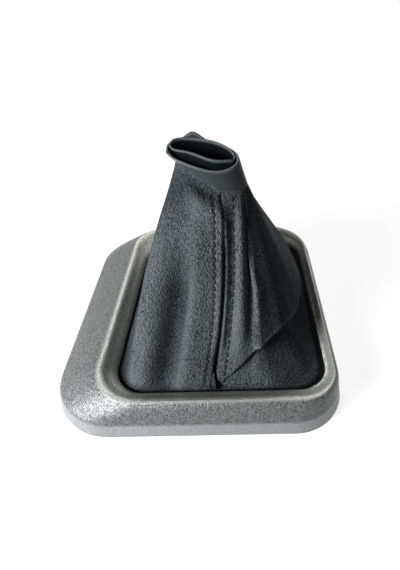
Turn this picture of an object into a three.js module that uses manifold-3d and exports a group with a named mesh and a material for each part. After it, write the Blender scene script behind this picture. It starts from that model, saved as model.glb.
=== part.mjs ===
// Gear lever gaiter with its surround, in millimetres, +Z up.
// The origin is the plan centre of the surround's lower rim; +X is to the viewer's right, -Y is the front.
import * as THREE from "three";
import { mergeVertices } from "three/addons/utils/BufferGeometryUtils.js";
import Module from "manifold-3d";

// Surround: plan of the lower rim
const SURROUND_WIDTH = 158;
const SURROUND_LENGTH = 161;
const REAR_TAPER = 3; // how much each side comes in towards the back
const RIM_RADII = [34, 27, 38, 28]; // front left, front right, back right, back left
const CREST_RADII = [22, 18, 25, 17];
const OPENING_RADII = [17, 16, 20, 20];

// Surround: widths from the lower rim in to the crest, and from the crest in to the opening
const FLANK = { left: 27.2, right: 5.7, front: 7.4, back: 7.2 };
const INNER_SLOPE = { left: 7.3, right: 2.5, front: 10.4, back: 7.8 };

// Surround: heights and wall
const BAND_HEIGHT = 8.5;
const BAND_DRAFT = 1.6;
const CREST_HEIGHT = 21;
const EDGE_HEIGHT = 13.2;
const LEDGE_UNDERSIDE = 11.4;
const LEDGE_WIDTH = 0.55; // share of the inner slope that the flat underside takes
const WALL = 2.2;

// Clearances
const SEAT_GAP = 0.3;
const RING_SIDE_GAP = 0.6;
const SEAM_GAP = 0.3;

// Hem and retaining ring
const CLOTH = 1.1;
const HEM_WIDTH = { left: 6, right: 3.4, front: 6, back: 3.4 };
// From the opening's edge in to the hem's turn
const RISE_INSET = { left: 1.3, right: 2.8, front: 1.5, back: 2 };
const RISE_RADII = [16, 15, 20, 22];
const RING_THICKNESS = 3.6;
const RING_BORDER = 0.8; // from the opening's edge out to the ring's own edge
const RING_LEFT_WIDTH = 19;

// Screws, their bosses and the hooks of the narrow side
const BOSS_RADIUS = 3.1;
const PILOT_RADIUS = 1.7;
const PILOT_DEPTH = 6;
const SHANK_RADIUS = 1.4;
const SHANK_LENGTH = 9;
const HEAD_RADIUS = 2.9;
const HEAD_HEIGHT = 2;
const SLOT_WIDTH = 0.8;
const SLOT_DEPTH = 0.9;
const HEAD_CROWN_RADIUS = 2.2;
const HEAD_RIM_HEIGHT = 1.2;
const LEFT_BOSS_FROM_RING_EDGE = 7.3;
const LEFT_BOSS_PITCH = 45;
const END_BOSS_INSET = { front: 6.9, back: 7.8, left: 56, right: 38 };
const HOOK_PITCH = 70;
const HOOK_LENGTH = 14;
const HOOK_REACH = 2.4;
const HOOK_THICKNESS = 1.5;

// Neck seam, where the two panels end and the collar starts
const NECK = {
  ...{ x: 13.2, y: -0.5, z: 101 },
  ...{ a: 17, b: 10, turn: -8, lean: 2.2, leftRise: 9.2, riseAngle: -155 },
};
// Mouth of the collar and of the sleeve inside it
const COLLAR_HEIGHT = 12.8;
const COLLAR_SHIFT = { x: -3.7, y: 0.1 };
const MOUTH = {
  x: NECK.x + COLLAR_SHIFT.x,
  y: NECK.y + COLLAR_SHIFT.y,
  z: NECK.z + COLLAR_HEIGHT,
  ...{ a: 17, b: 9.8, turn: -10, lean: 1.2, backRise: 2.2, cornerRise: 2.6 },
};
const PEAK = { angle: 112, height: 4.6, spread: 18 };
const REAR_CORNER = 165; // angle at which the mouth's pinched left end stands highest
const LIP_DIP = { angle: -60, depth: 2.8 };
const SLEEVE_PROUD = 0.8; // how far the sleeve stands above the collar
const SLEEVE_SETBACK = 1.2;
const SLEEVE_MOUTH = {
  x: MOUTH.x,
  y: MOUTH.y + SLEEVE_SETBACK,
  z: MOUTH.z + SLEEVE_PROUD,
  ...{ a: 15.2, b: 6.6, turn: MOUTH.turn, lean: 2, backRise: 2, cornerRise: 1.6 },
};
const COLLAR_WALL = 1.2;
const SLEEVE_WALL = 0.9;
const SLEEVE_TUCK = 7; // how far the sleeve reaches below the neck seam
const SLEEVE_GAP = 0.5;

// Mesh steps
const SIDE_STEPS = 6;
const ARC_STEPS = 7;
const COLUMN_STEPS = 3;
const ROWS = { facet: 7, roll: 3, upper: 11 };
const ROLL_START = 0.3; // row fractions between which the crease rolls under
const ROLL_END = 0.34;
const NECK_STEPS = 40;
const COLLAR_STEPS = 4;
const SLEEVE_STEPS = 3;

// Fold lines run from the hem up to the neck seam. For each: hem is its place along the hem outline (0 is
// the middle of the front-left corner, 1 front-right, 2 back-right, 3 back-left), neck its angle on the neck
// seam, soft how rounded it is across, crease the height fraction of its break, out the offset there, tuck
// how far the cloth rolls back under the break, and low, mid, high and side its bulges below the break,
// above it and sideways.
const PLAIN_FOLD = { soft: 1, crease: 0.22, out: 0, tuck: 0, low: 0, mid: 0, high: 0, side: 0 };
const RIGHT_FOLDS = [
  { name: "front seam", hem: 0.465, neck: -71, crease: 0.07, mid: 0.5, side: 3.2 },
  { name: "stitch row", hem: 0.52, neck: -54, crease: 0.08, out: 0.5, tuck: 0.8, mid: 0.5, side: 2.6 },
  { name: "rib", hem: 0.6, neck: -36, crease: 0.155, out: 2.2, tuck: 3, mid: 1.5, high: 1, side: 0.5 },
  { name: "valley", hem: 0.67, neck: -20, soft: 0.6, crease: 0.215, out: 2, tuck: 4.5, mid: -1.5, high: -1 },
  { name: "fold edge", hem: 0.715, neck: -10, soft: 0.1, crease: 0.25, out: 4.2, tuck: 5, mid: 0.3 },
  { name: "right face", hem: 1.01, neck: 1, soft: 0.8, crease: 0.29, out: -7, tuck: 4, low: -1 },
  { name: "right turn", hem: 1.3, neck: 8, soft: 0.6, crease: 0.215, tuck: 2.2, mid: 1, high: 0.5 },
  { name: "side bulge", hem: 1.5, neck: 20, crease: 0.3, out: 3.6, low: 2.5, mid: -1, high: -1 },
  { name: "back bulge", hem: 1.8, neck: 36, out: 2, low: 1.5, mid: -0.5, high: -0.5 },
  { name: "back right corner", hem: 2, neck: 50, soft: 0.5, out: 1, low: 1 },
  { name: "back right", hem: 2.25, neck: 70, out: -1, mid: -2.5, high: -1 },
  { name: "back seam", hem: 2.5, neck: 90 },
].map((fold) => ({ ...PLAIN_FOLD, ...fold }));
const LEFT_FOLDS = [
  { name: "front seam", hem: 0.465, neck: -71, mid: 0.5, side: 3.2 },
  { name: "front face", hem: 0.33, neck: -98, out: 2, low: 1, mid: 1.6, high: 1, side: 1.5 },
  { name: "front valley", hem: 0.21, neck: -125, out: -3.2, low: -1, mid: -1.2, high: 0.3, side: 1 },
  { name: "left ridge", hem: 0.05, neck: -165, soft: 0.1, out: 4, low: 0.5, mid: 3.5, high: 2 },
  { name: "left front", hem: -0.2, neck: -183, out: -2, mid: -1.5 },
  { name: "left side", hem: -0.5, neck: -200, out: -1, mid: -2, high: -0.8 },
  { name: "left back", hem: -0.78, neck: -217 },
  { name: "back left corner", hem: -1, neck: -232, soft: 0.5, out: 1.5, mid: 1, high: 0.5 },
  { name: "back left", hem: -1.25, neck: -250, out: -1, mid: -2.5, high: -1 },
  { name: "back seam", hem: -1.5, neck: -270 },
].map((fold) => ({ ...PLAIN_FOLD, ...fold }));

const wasm = await Module();
wasm.setup();

const degrees = Math.PI / 180;
const sidesOf = (make) => ({
  left: make("left"),
  right: make("right"),
  front: make("front"),
  back: make("back"),
});

// Geometry helpers

function roundCoordinates(geometry) {
  const position = geometry.attributes.position;
  for (let i = 0; i < position.array.length; i += 1) {
    position.array[i] = Math.round(position.array[i] * 1e4) / 1e4;
  }
  return geometry;
}

function closedGeometry(points, triangles) {
  let volume = 0;
  for (const [a, b, c] of triangles) {
    volume += points[a].dot(points[b].clone().cross(points[c]));
  }
  const faces = volume < 0 ? triangles.map(([a, b, c]) => [a, c, b]) : triangles;
  const coordinates = points.flatMap((p) => [p.x, p.y, p.z]);
  const geometry = new THREE.BufferGeometry();
  geometry.setAttribute("position", new THREE.Float32BufferAttribute(coordinates, 3));
  geometry.setIndex(faces.flat());
  return roundCoordinates(geometry);
}

// Joins rings of equal length into one body that closes around each ring and from the last ring to the first.
function loftRings(rings) {
  const count = rings[0].length;
  const triangles = [];
  for (let r = 0; r < rings.length; r += 1) {
    const next = (r + 1) % rings.length;
    for (let i = 0; i < count; i += 1) {
      const j = (i + 1) % count;
      triangles.push([r * count + i, r * count + j, next * count + j]);
      triangles.push([r * count + i, next * count + j, next * count + i]);
    }
  }
  return closedGeometry(rings.flat(), triangles);
}

// Closes an outer and an inner grid of points, row by row, into a sheet with four edges.
function thickSheet(outer, inner) {
  const rows = outer.length;
  const columns = outer[0].length;
  const points = [...outer.flat(), ...inner.flat()];
  const front = (r, c) => r * columns + c;
  const rear = (r, c) => rows * columns + r * columns + c;
  const triangles = [];
  const quad = (a, b, c, d) => triangles.push([a, b, c], [a, c, d]);
  for (let r = 0; r < rows - 1; r += 1) {
    for (let c = 0; c < columns - 1; c += 1) {
      quad(front(r, c), front(r, c + 1), front(r + 1, c + 1), front(r + 1, c));
      quad(rear(r, c), rear(r + 1, c), rear(r + 1, c + 1), rear(r, c + 1));
    }
    quad(front(r, 0), front(r + 1, 0), rear(r + 1, 0), rear(r, 0));
    quad(front(r, columns - 1), rear(r, columns - 1), rear(r + 1, columns - 1), front(r + 1, columns - 1));
  }
  for (let c = 0; c < columns - 1; c += 1) {
    quad(front(0, c), rear(0, c), rear(0, c + 1), front(0, c + 1));
    quad(front(rows - 1, c), front(rows - 1, c + 1), rear(rows - 1, c + 1), rear(rows - 1, c));
  }
  return closedGeometry(points, triangles);
}

function toSolid(geometry) {
  const bare = geometry.clone();
  bare.deleteAttribute("normal");
  bare.deleteAttribute("uv");
  const merged = mergeVertices(bare, 1e-3);
  const mesh = new wasm.Mesh({
    numProp: 3,
    vertProperties: new Float32Array(merged.attributes.position.array),
    triVerts: new Uint32Array(merged.index.array),
  });
  return new wasm.Manifold(mesh);
}

function fromSolid(solid) {
  const mesh = solid.getMesh();
  const coordinates = new Float32Array(mesh.vertProperties);
  const geometry = new THREE.BufferGeometry();
  geometry.setAttribute("position", new THREE.Float32BufferAttribute(coordinates, 3));
  geometry.setIndex([...mesh.triVerts]);
  return mergeVertices(roundCoordinates(geometry), 1e-3);
}

function uprightCylinder(radius, low, high, x, y, segments = 20) {
  const geometry = new THREE.CylinderGeometry(radius, radius, high - low, segments);
  geometry.rotateX(Math.PI / 2);
  geometry.translate(x, y, (low + high) / 2);
  return geometry;
}

function block(low, high) {
  const size = new THREE.Vector3().subVectors(high, low);
  const geometry = new THREE.BoxGeometry(size.x, size.y, size.z);
  geometry.translate((low.x + high.x) / 2, (low.y + high.y) / 2, (low.z + high.z) / 2);
  return geometry;
}

// Plan outlines

// The four corners of the surround's plan, moved in from the lower rim by an inset of each side.
function planCorners(inset) {
  const x = SURROUND_WIDTH / 2;
  const y = SURROUND_LENGTH / 2;
  return [
    new THREE.Vector2(-x + inset.left, -y + inset.front),
    new THREE.Vector2(x - inset.right, -y + inset.front),
    new THREE.Vector2(x - REAR_TAPER - inset.right, y - inset.back),
    new THREE.Vector2(-x + REAR_TAPER + inset.left, y - inset.back),
  ];
}

function cornerArc(previous, corner, next, radius) {
  const towardPrevious = previous.clone().sub(corner).normalize();
  const towardNext = next.clone().sub(corner).normalize();
  const half = Math.acos(towardPrevious.dot(towardNext)) / 2;
  const bisector = towardPrevious.clone().add(towardNext).normalize();
  const centre = corner.clone().addScaledVector(bisector, radius / Math.sin(half));
  const start = corner.clone().addScaledVector(towardPrevious, radius / Math.tan(half)).sub(centre);
  const sweep = Math.PI - 2 * half;
  const points = [];
  for (let i = 0; i <= ARC_STEPS; i += 1) {
    points.push(start.clone().rotateAround(new THREE.Vector2(), (sweep * i) / ARC_STEPS).add(centre));
  }
  return points;
}

// An anticlockwise outline with rounded corners, each side and each corner in equal steps.
function roundedOutline(corners, radii) {
  const cornerAt = (i) => corners[(i + 4) % 4];
  const arcs = corners.map((corner, i) => cornerArc(cornerAt(i - 1), corner, cornerAt(i + 1), radii[i]));
  const points = [];
  arcs.forEach((arc, i) => {
    const last = arc[ARC_STEPS];
    const target = arcs[(i + 1) % 4][0];
    points.push(...arc);
    for (let k = 1; k < SIDE_STEPS; k += 1) {
      points.push(last.clone().lerp(target, k / SIDE_STEPS));
    }
  });
  return points;
}

function ringAt(inset, radii, z) {
  return roundedOutline(planCorners(inset), radii).map((p) => new THREE.Vector3(p.x, p.y, z));
}

const addInset = (a, b) => sidesOf((side) => a[side] + b[side]);
const evenInset = (value) => sidesOf(() => value);
const mixRadii = (a, b, share) => a.map((radius, i) => radius + (b[i] - radius) * share);
const shrinkRadii = (radii, by) => radii.map((radius) => Math.max(1, radius - by));

const OPENING_INSET = addInset(FLANK, INNER_SLOPE);
const RISE = addInset(OPENING_INSET, RISE_INSET);
const RING_INSET = {
  ...evenInset(BAND_DRAFT + WALL + RING_SIDE_GAP),
  left: OPENING_INSET.left - RING_BORDER - RING_LEFT_WIDTH,
};
const rightSideAt = (y) => SURROUND_WIDTH / 2 - REAR_TAPER * (y / SURROUND_LENGTH + 0.5);

// Surround

// Points on the flank between band and crest. The wide left flank is nearly straight, the others are full.
const FLANK_STEPS = [
  { rise: 0.3, left: 0.24, others: 0.1 },
  { rise: 0.68, left: 0.61, others: 0.34 },
  { rise: 0.93, left: 0.88, others: 0.7 },
];
const flankInset = (step) =>
  sidesOf((side) => BAND_DRAFT + (FLANK[side] - BAND_DRAFT) * (side === "left" ? step.left : step.others));
const flankHeight = (step) => BAND_HEIGHT + (CREST_HEIGHT - BAND_HEIGHT) * step.rise;

// Points on the inner slope, by share of its width and of its fall. The last is the opening's rolled edge.
const SLOPE_STEPS = [
  { across: 0.16, down: 0.06 },
  { across: 0.55, down: 0.5 },
  { across: 0.94, down: 0.93 },
  { across: 1, down: 1.06 },
];
const slopeInset = (across) => sidesOf((side) => FLANK[side] + INNER_SLOPE[side] * across);
const slopeRadii = (across) => mixRadii(CREST_RADII, OPENING_RADII, across);
const slopeHeight = (down) => CREST_HEIGHT - (CREST_HEIGHT - EDGE_HEIGHT) * down;
const flankRadii = (step) => mixRadii(RIM_RADII, CREST_RADII, step.others);

// Rings of the visible skin, from the lower rim over the crest to the opening's edge.
function skinRings() {
  return [
    ringAt(evenInset(0), RIM_RADII, 0),
    ringAt(evenInset(BAND_DRAFT), shrinkRadii(RIM_RADII, BAND_DRAFT / 2), BAND_HEIGHT),
    ...FLANK_STEPS.map((step) => ringAt(flankInset(step), flankRadii(step), flankHeight(step))),
    ringAt(FLANK, CREST_RADII, CREST_HEIGHT),
    ...SLOPE_STEPS.map((step) => {
      return ringAt(slopeInset(step.across), slopeRadii(step.across), slopeHeight(step.down));
    }),
  ];
}

// How far the inside of the sloping flank stands in from its outside, and below it
const WALL_INWARD = WALL * 0.75;
const WALL_DOWNWARD = WALL * 0.8;

function surroundShell() {
  const outside = [...skinRings(), ringAt(OPENING_INSET, OPENING_RADII, LEDGE_UNDERSIDE)];
  const underside = [
    ringAt(slopeInset(1 - LEDGE_WIDTH), slopeRadii(1 - LEDGE_WIDTH), LEDGE_UNDERSIDE),
    ringAt(FLANK, CREST_RADII, CREST_HEIGHT - WALL),
    ...[FLANK_STEPS[1], FLANK_STEPS[0]].map((step) => {
      const inset = addInset(flankInset(step), evenInset(WALL_INWARD));
      return ringAt(inset, flankRadii(step), flankHeight(step) - WALL_DOWNWARD);
    }),
    ringAt(evenInset(BAND_DRAFT + WALL), shrinkRadii(RIM_RADII, WALL), BAND_HEIGHT - WALL_DOWNWARD),
    ringAt(evenInset(WALL), shrinkRadii(RIM_RADII, WALL), 0),
  ];
  return loftRings([...outside, ...underside]);
}

const RING_TOP = LEDGE_UNDERSIDE - CLOTH - 2 * SEAT_GAP;
const RING_BOTTOM = RING_TOP - RING_THICKNESS;

// Screw places, three down the wide left flank and two at each end.
function screwPlaces() {
  const ringEdge = -SURROUND_WIDTH / 2 + REAR_TAPER / 2 + RING_INSET.left;
  const places = [-1, 0, 1].map(
    (step) => new THREE.Vector2(ringEdge + LEFT_BOSS_FROM_RING_EDGE, step * LEFT_BOSS_PITCH),
  );
  const ends = [-SURROUND_LENGTH / 2 + END_BOSS_INSET.front, SURROUND_LENGTH / 2 - END_BOSS_INSET.back];
  const columns = [-SURROUND_WIDTH / 2 + END_BOSS_INSET.left, SURROUND_WIDTH / 2 - END_BOSS_INSET.right];
  for (const y of ends) {
    for (const x of columns) {
      places.push(new THREE.Vector2(x, y));
    }
  }
  return places;
}

// Everything below the middle of the skin, which trims the bosses so that none shows through.
function spaceUnderSkin() {
  const lowered = skinRings().map((ring) => ring.map((p) => p.clone().setZ(Math.max(0, p.z - WALL / 2))));
  return loftRings([...lowered.slice(1), ringAt(OPENING_INSET, OPENING_RADII, 0)]);
}

function surroundGeometry() {
  let solid = toSolid(surroundShell());
  const underSkin = toSolid(spaceUnderSkin());
  for (const place of screwPlaces()) {
    const boss = uprightCylinder(BOSS_RADIUS, RING_TOP + SEAT_GAP, CREST_HEIGHT, place.x, place.y);
    solid = solid.add(toSolid(boss).intersect(underSkin));
  }
  for (const place of screwPlaces()) {
    const low = RING_TOP - 1;
    const pilot = uprightCylinder(PILOT_RADIUS, low, RING_TOP + SEAT_GAP + PILOT_DEPTH, place.x, place.y);
    solid = solid.subtract(toSolid(pilot));
  }
  const top = RING_BOTTOM - SEAT_GAP;
  for (const step of [-0.5, 0.5]) {
    const near = step * HOOK_PITCH - HOOK_LENGTH / 2;
    const far = step * HOOK_PITCH + HOOK_LENGTH / 2;
    const side = rightSideAt(far);
    const low = new THREE.Vector3(side - RING_INSET.right - HOOK_REACH, near, top - HOOK_THICKNESS);
    const high = new THREE.Vector3(side - BAND_DRAFT, far, top);
    solid = solid.add(toSolid(block(low, high)));
  }
  return fromSolid(solid);
}

// Retaining ring

function ringGeometry() {
  const outerRadii = shrinkRadii(RIM_RADII, WALL + RING_SIDE_GAP);
  const innerInset = addInset(OPENING_INSET, evenInset(-RING_BORDER));
  let solid = toSolid(
    loftRings([
      ringAt(RING_INSET, outerRadii, RING_BOTTOM),
      ringAt(RING_INSET, outerRadii, RING_TOP),
      ringAt(innerInset, OPENING_RADII, RING_TOP),
      ringAt(innerInset, OPENING_RADII, RING_BOTTOM),
    ]),
  );
  for (const place of screwPlaces()) {
    const hole = uprightCylinder(PILOT_RADIUS, RING_BOTTOM - 1, RING_TOP + 1, place.x, place.y);
    solid = solid.subtract(toSolid(hole));
  }
  return fromSolid(solid);
}

// Screws: a slotted pan head under the ring and a plain shank up into the boss

function screwGeometry(place) {
  const headTop = RING_BOTTOM - SEAT_GAP;
  const headBottom = headTop - HEAD_HEIGHT;
  const profile = [
    new THREE.Vector2(0, headBottom),
    new THREE.Vector2(HEAD_CROWN_RADIUS, headBottom),
    new THREE.Vector2(HEAD_RADIUS, headTop - HEAD_RIM_HEIGHT),
    new THREE.Vector2(HEAD_RADIUS, headTop),
    new THREE.Vector2(SHANK_RADIUS, headTop),
    new THREE.Vector2(SHANK_RADIUS, headTop + SHANK_LENGTH - SHANK_RADIUS),
    new THREE.Vector2(0, headTop + SHANK_LENGTH),
  ];
  const turned = new THREE.LatheGeometry(profile, 16);
  turned.rotateX(Math.PI / 2);
  turned.translate(place.x, place.y, 0);
  const reach = HEAD_RADIUS + 1;
  const low = new THREE.Vector3(place.x - reach, place.y - SLOT_WIDTH / 2, headBottom - 1);
  const high = new THREE.Vector3(place.x + reach, place.y + SLOT_WIDTH / 2, headBottom + SLOT_DEPTH);
  return fromSolid(toSolid(turned).subtract(toSolid(block(low, high))));
}

// Gaiter panels

const HEM_TOP = LEDGE_UNDERSIDE - SEAT_GAP;
const HEM_BOTTOM = HEM_TOP - CLOTH;

// Reads a closed outline by its side number plus a fraction, measured between the middles of the corners.
function outlineReader(outline) {
  const count = outline.length;
  const lengths = [0];
  for (let i = 0; i < count; i += 1) {
    lengths.push(lengths[i] + outline[i].distanceTo(outline[(i + 1) % count]));
  }
  const total = lengths[count];
  const corner = [0, 1, 2, 3].map((side) => {
    const first = side * (ARC_STEPS + SIDE_STEPS);
    return (lengths[first] + lengths[first + ARC_STEPS]) / 2;
  });
  corner.push(corner[0] + total);
  return (place) => {
    const turn = ((place % 4) + 4) % 4;
    const side = Math.floor(turn);
    const length = (corner[side] + (turn - side) * (corner[side + 1] - corner[side])) % total;
    let i = 0;
    while (i < count - 1 && lengths[i + 1] <= length) {
      i += 1;
    }
    const share = (length - lengths[i]) / (lengths[i + 1] - lengths[i]);
    return outline[i].clone().lerp(outline[(i + 1) % count], share);
  };
}

const riseAt = outlineReader(roundedOutline(planCorners(RISE), RISE_RADII));
const hemEdgeAt = outlineReader(
  roundedOutline(planCorners(sidesOf((side) => OPENING_INSET[side] - HEM_WIDTH[side])), CREST_RADII),
);

function ellipsePoint(shape, angle) {
  const flat = new THREE.Vector2(shape.a * Math.cos(angle * degrees), shape.b * Math.sin(angle * degrees));
  flat.rotateAround(new THREE.Vector2(), shape.turn * degrees);
  return flat.add(new THREE.Vector2(shape.x, shape.y));
}

// The neck seam dips at the right and rises at the left end.
function neckPoint(angle) {
  const flat = ellipsePoint(NECK, angle);
  const rise = Math.max(0, Math.cos((angle - NECK.riseAngle) * degrees));
  const z = NECK.z - NECK.lean * Math.cos(angle * degrees) + NECK.leftRise * rise;
  return new THREE.Vector3(flat.x, flat.y, z);
}

function hermite(p1, p2, m1, m2, f) {
  const ease = f * f * (3 - 2 * f);
  return p1 + (p2 - p1) * ease + m1 * (f ** 3 - 2 * f * f + f) + m2 * (f ** 3 - f * f);
}

// A smooth curve through points at equal steps, read at t between 0 and the last index.
function smoothThrough(points, t) {
  const last = points.length - 1;
  const i = Math.min(Math.floor(t), last - 1);
  return points[0].map((unused, k) => {
    const value = (n) => points[n][k];
    const before = i > 0 ? (value(i + 1) - value(i - 1)) / 2 : value(1) - value(0);
    const after = i + 2 <= last ? (value(i + 2) - value(i)) / 2 : value(last) - value(last - 1);
    return hermite(value(i), value(i + 1), before, after, t - i);
  });
}

const UNDERCUT = 0.02; // height fraction between the crease and the cloth tucked under it
const FULL_CREASE = 2; // tuck from which a fold line is a crease over its whole depth
const CREASE_BULGE = 0.6; // how far the roll of a crease hangs below its edge, as a share of the undercut
const CREST_POINT = 2; // place of the break in a fold line's list of points
const ROLL_POINT = 1.86; // place on the plain curve where the roll starts

// Height fraction, outward offset and sideways offset of a fold line at one row.
function foldProfile(fold, row) {
  const above = 1 - fold.crease;
  const hem = [0, 0];
  const middle = [fold.crease / 2, fold.out / 2 + fold.low];
  const crest = [fold.crease, fold.out];
  const tucked = [fold.crease - UNDERCUT, fold.out - fold.tuck];
  const belowTuck = [tucked[0] / 2, tucked[1] / 2 + fold.low];
  const first = [fold.crease + above / 3, (fold.out * 2) / 3 + fold.mid];
  const second = [fold.crease + (above * 2) / 3, fold.out / 3 + fold.high];
  const plain = [hem, middle, crest, first, second, [1, 0]];
  const share = Math.min(1, fold.tuck / FULL_CREASE);
  let smooth;
  let creased;
  if (row <= ROLL_START) {
    const t = row / ROLL_START;
    smooth = smoothThrough(plain, ROLL_POINT * t);
    creased = smoothThrough([hem, belowTuck, tucked], 2 * t);
  } else if (row <= ROLL_END) {
    const t = (row - ROLL_START) / (ROLL_END - ROLL_START);
    smooth = smoothThrough(plain, ROLL_POINT + (CREST_POINT - ROLL_POINT) * t);
    creased = tucked.map((value, k) => value + (crest[k] - value) * t);
    creased[0] -= UNDERCUT * CREASE_BULGE * Math.sin(Math.PI * t);
  } else {
    const t = (row - ROLL_END) / (1 - ROLL_END);
    smooth = smoothThrough(plain, CREST_POINT + 3 * t);
    creased = smoothThrough([crest, first, second, [1, 0]], 3 * t);
  }
  const [height, offset] = smooth.map((value, k) => value * (1 - share) + creased[k] * share);
  return [height, offset, fold.side * Math.sin(Math.PI * Math.min(1, Math.max(0, height)))];
}

const outwardAt = (hemPlace) => riseAt(hemPlace).sub(new THREE.Vector2(NECK.x, NECK.y)).normalize();

function clothPoint(hemPlace, neckAngle, height, offset, sideways) {
  const foot = riseAt(hemPlace);
  const base = new THREE.Vector3(foot.x, foot.y, HEM_TOP);
  const outward = outwardAt(hemPlace);
  const point = base.lerp(neckPoint(neckAngle), height);
  point.x += outward.x * offset - outward.y * sideways;
  point.y += outward.y * offset + outward.x * sideways;
  return point;
}

// One row of a panel, from the front seam to the back seam.
function panelRow(folds, row) {
  const states = folds.map((fold) => [fold.hem, fold.neck, ...foldProfile(fold, row)]);
  const last = folds.length - 1;
  const points = [];
  for (let i = 0; i < last; i += 1) {
    const slope = (n, k) => {
      const chord = states[i + 1][k] - states[i][k];
      if (n === 0 || n === last) {
        return chord;
      }
      const smooth = (states[n + 1][k] - states[n - 1][k]) / 2;
      const soft = k < 2 ? 1 : folds[n].soft;
      return smooth * soft + chord * (1 - soft);
    };
    const steps = i === last - 1 ? COLUMN_STEPS + 1 : COLUMN_STEPS;
    for (let step = 0; step < steps; step += 1) {
      const f = step / COLUMN_STEPS;
      const between = (value, k) => hermite(value, states[i + 1][k], slope(i, k), slope(i + 1, k), f);
      points.push(clothPoint(...states[i].map(between)));
    }
  }
  return points;
}

function rowFractions() {
  const fractions = [];
  for (let i = 0; i <= ROWS.facet; i += 1) {
    fractions.push((ROLL_START * i) / ROWS.facet);
  }
  for (let i = 1; i <= ROWS.roll; i += 1) {
    fractions.push(ROLL_START + ((ROLL_END - ROLL_START) * i) / ROWS.roll);
  }
  for (let i = 1; i <= ROWS.upper; i += 1) {
    fractions.push(ROLL_END + ((1 - ROLL_END) * i) / ROWS.upper);
  }
  return fractions;
}

// Outward normal of the cloth. At a seam it lies in the seam's own plane, so that both panels meet there.
function surfaceNormal(grid, r, c, folds) {
  const up = grid[Math.min(r + 1, grid.length - 1)][c].clone().sub(grid[Math.max(r - 1, 0)][c]);
  const last = grid[r].length - 1;
  if (c === 0 || c === last) {
    const outward = outwardAt(folds[c === 0 ? 0 : folds.length - 1].hem);
    return new THREE.Vector3(-outward.y, outward.x, 0).cross(up).normalize();
  }
  const anticlockwise = folds[1].hem > folds[0].hem ? 1 : -1;
  const across = grid[r][c + 1].clone().sub(grid[r][c - 1]);
  return across.cross(up).multiplyScalar(anticlockwise).normalize();
}

// The hem's flange lies flat under the surround's ledge, turns up at the opening and becomes the wall.
function panelGeometry(folds) {
  const wall = rowFractions().map((row) => panelRow(folds, row));
  const places = folds.flatMap((fold, i) => {
    const steps = i === folds.length - 1 ? 1 : COLUMN_STEPS;
    return Array.from({ length: steps }, (unused, step) => {
      if (step === 0) {
        return fold.hem;
      }
      const slope = (n) => {
        if (n === 0 || n === folds.length - 1) {
          return folds[i + 1].hem - fold.hem;
        }
        return (folds[n + 1].hem - folds[n - 1].hem) / 2;
      };
      return hermite(fold.hem, folds[i + 1].hem, slope(i), slope(i + 1), step / COLUMN_STEPS);
    });
  });
  const flange = places.map((place) => hemEdgeAt(place));
  const at = (points, z) => points.map((p) => new THREE.Vector3(p.x, p.y, z));
  const halfway = wall[0].map((p, c) => new THREE.Vector2(p.x, p.y).lerp(flange[c], 0.5));
  const innerWall = wall.map((row, r) =>
    row.map((p, c) => p.clone().addScaledVector(surfaceNormal(wall, r, c, folds), -CLOTH)),
  );
  innerWall[0].forEach((p) => {
    p.z = HEM_BOTTOM;
  });
  const outer = [at(flange, HEM_TOP), at(halfway, HEM_TOP), ...wall];
  const inner = [at(flange, HEM_BOTTOM), at(halfway, HEM_BOTTOM), ...innerWall];
  for (const grid of [outer, inner]) {
    for (const row of grid) {
      separateAtSeams(row);
    }
  }
  return thickSheet(outer, inner);
}

// Draws the two end columns of a row back from the seams by half of the seam's gap.
function separateAtSeams(row) {
  const pull = (end, neighbour) => {
    const along = row[neighbour].clone().sub(row[end]);
    row[end].addScaledVector(along.normalize(), SEAM_GAP / 2);
  };
  pull(0, 1);
  pull(row.length - 1, row.length - 2);
}

// Collar and inner sleeve

function mouthPoint(shape, angle) {
  const flat = ellipsePoint(shape, angle);
  const behind = Math.max(0, Math.sin(angle * degrees));
  const corner = Math.max(0, Math.cos((angle - REAR_CORNER) * degrees)) ** 4;
  const rise = shape.backRise * behind + shape.cornerRise * corner;
  const z = shape.z - shape.lean * Math.cos(angle * degrees) + rise;
  return new THREE.Vector3(flat.x, flat.y, z);
}

// The collar's lip stands up in a peak at the back and dips at the front right.
function lipPoint(angle) {
  const point = mouthPoint(MOUTH, angle);
  const fromPeak = (angle - PEAK.angle) / PEAK.spread;
  const nearDip = Math.max(0, Math.cos((angle - LIP_DIP.angle) * degrees));
  point.z += PEAK.height * Math.exp(-fromPeak * fromPeak) - LIP_DIP.depth * nearDip ** 3;
  return point;
}

const neckAngles = Array.from({ length: NECK_STEPS }, (unused, i) => -180 + (360 * i) / NECK_STEPS);

function insetLoop(loop, distance) {
  const centre = loop.reduce((sum, p) => sum.add(p), new THREE.Vector3()).divideScalar(loop.length);
  return loop.map((p, i) => {
    const along = loop[(i + 1) % loop.length].clone().sub(loop[(i + loop.length - 1) % loop.length]);
    const inward = new THREE.Vector3(-along.y, along.x, 0).normalize();
    if (inward.dot(centre.clone().sub(p)) < 0) {
      inward.negate();
    }
    return p.clone().addScaledVector(inward, distance);
  });
}

function tube(low, high, wall, steps) {
  const outside = Array.from({ length: steps + 1 }, (unused, k) =>
    low.map((p, i) => p.clone().lerp(high[i], k / steps)),
  );
  const inside = outside.map((loop) => insetLoop(loop, wall)).reverse();
  return loftRings([...outside, ...inside]);
}

function collarGeometry() {
  const low = neckAngles.map((angle) => neckPoint(angle).setZ(neckPoint(angle).z + SEAM_GAP));
  const high = neckAngles.map((angle) => lipPoint(angle));
  return tube(low, high, COLLAR_WALL, COLLAR_STEPS);
}

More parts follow.
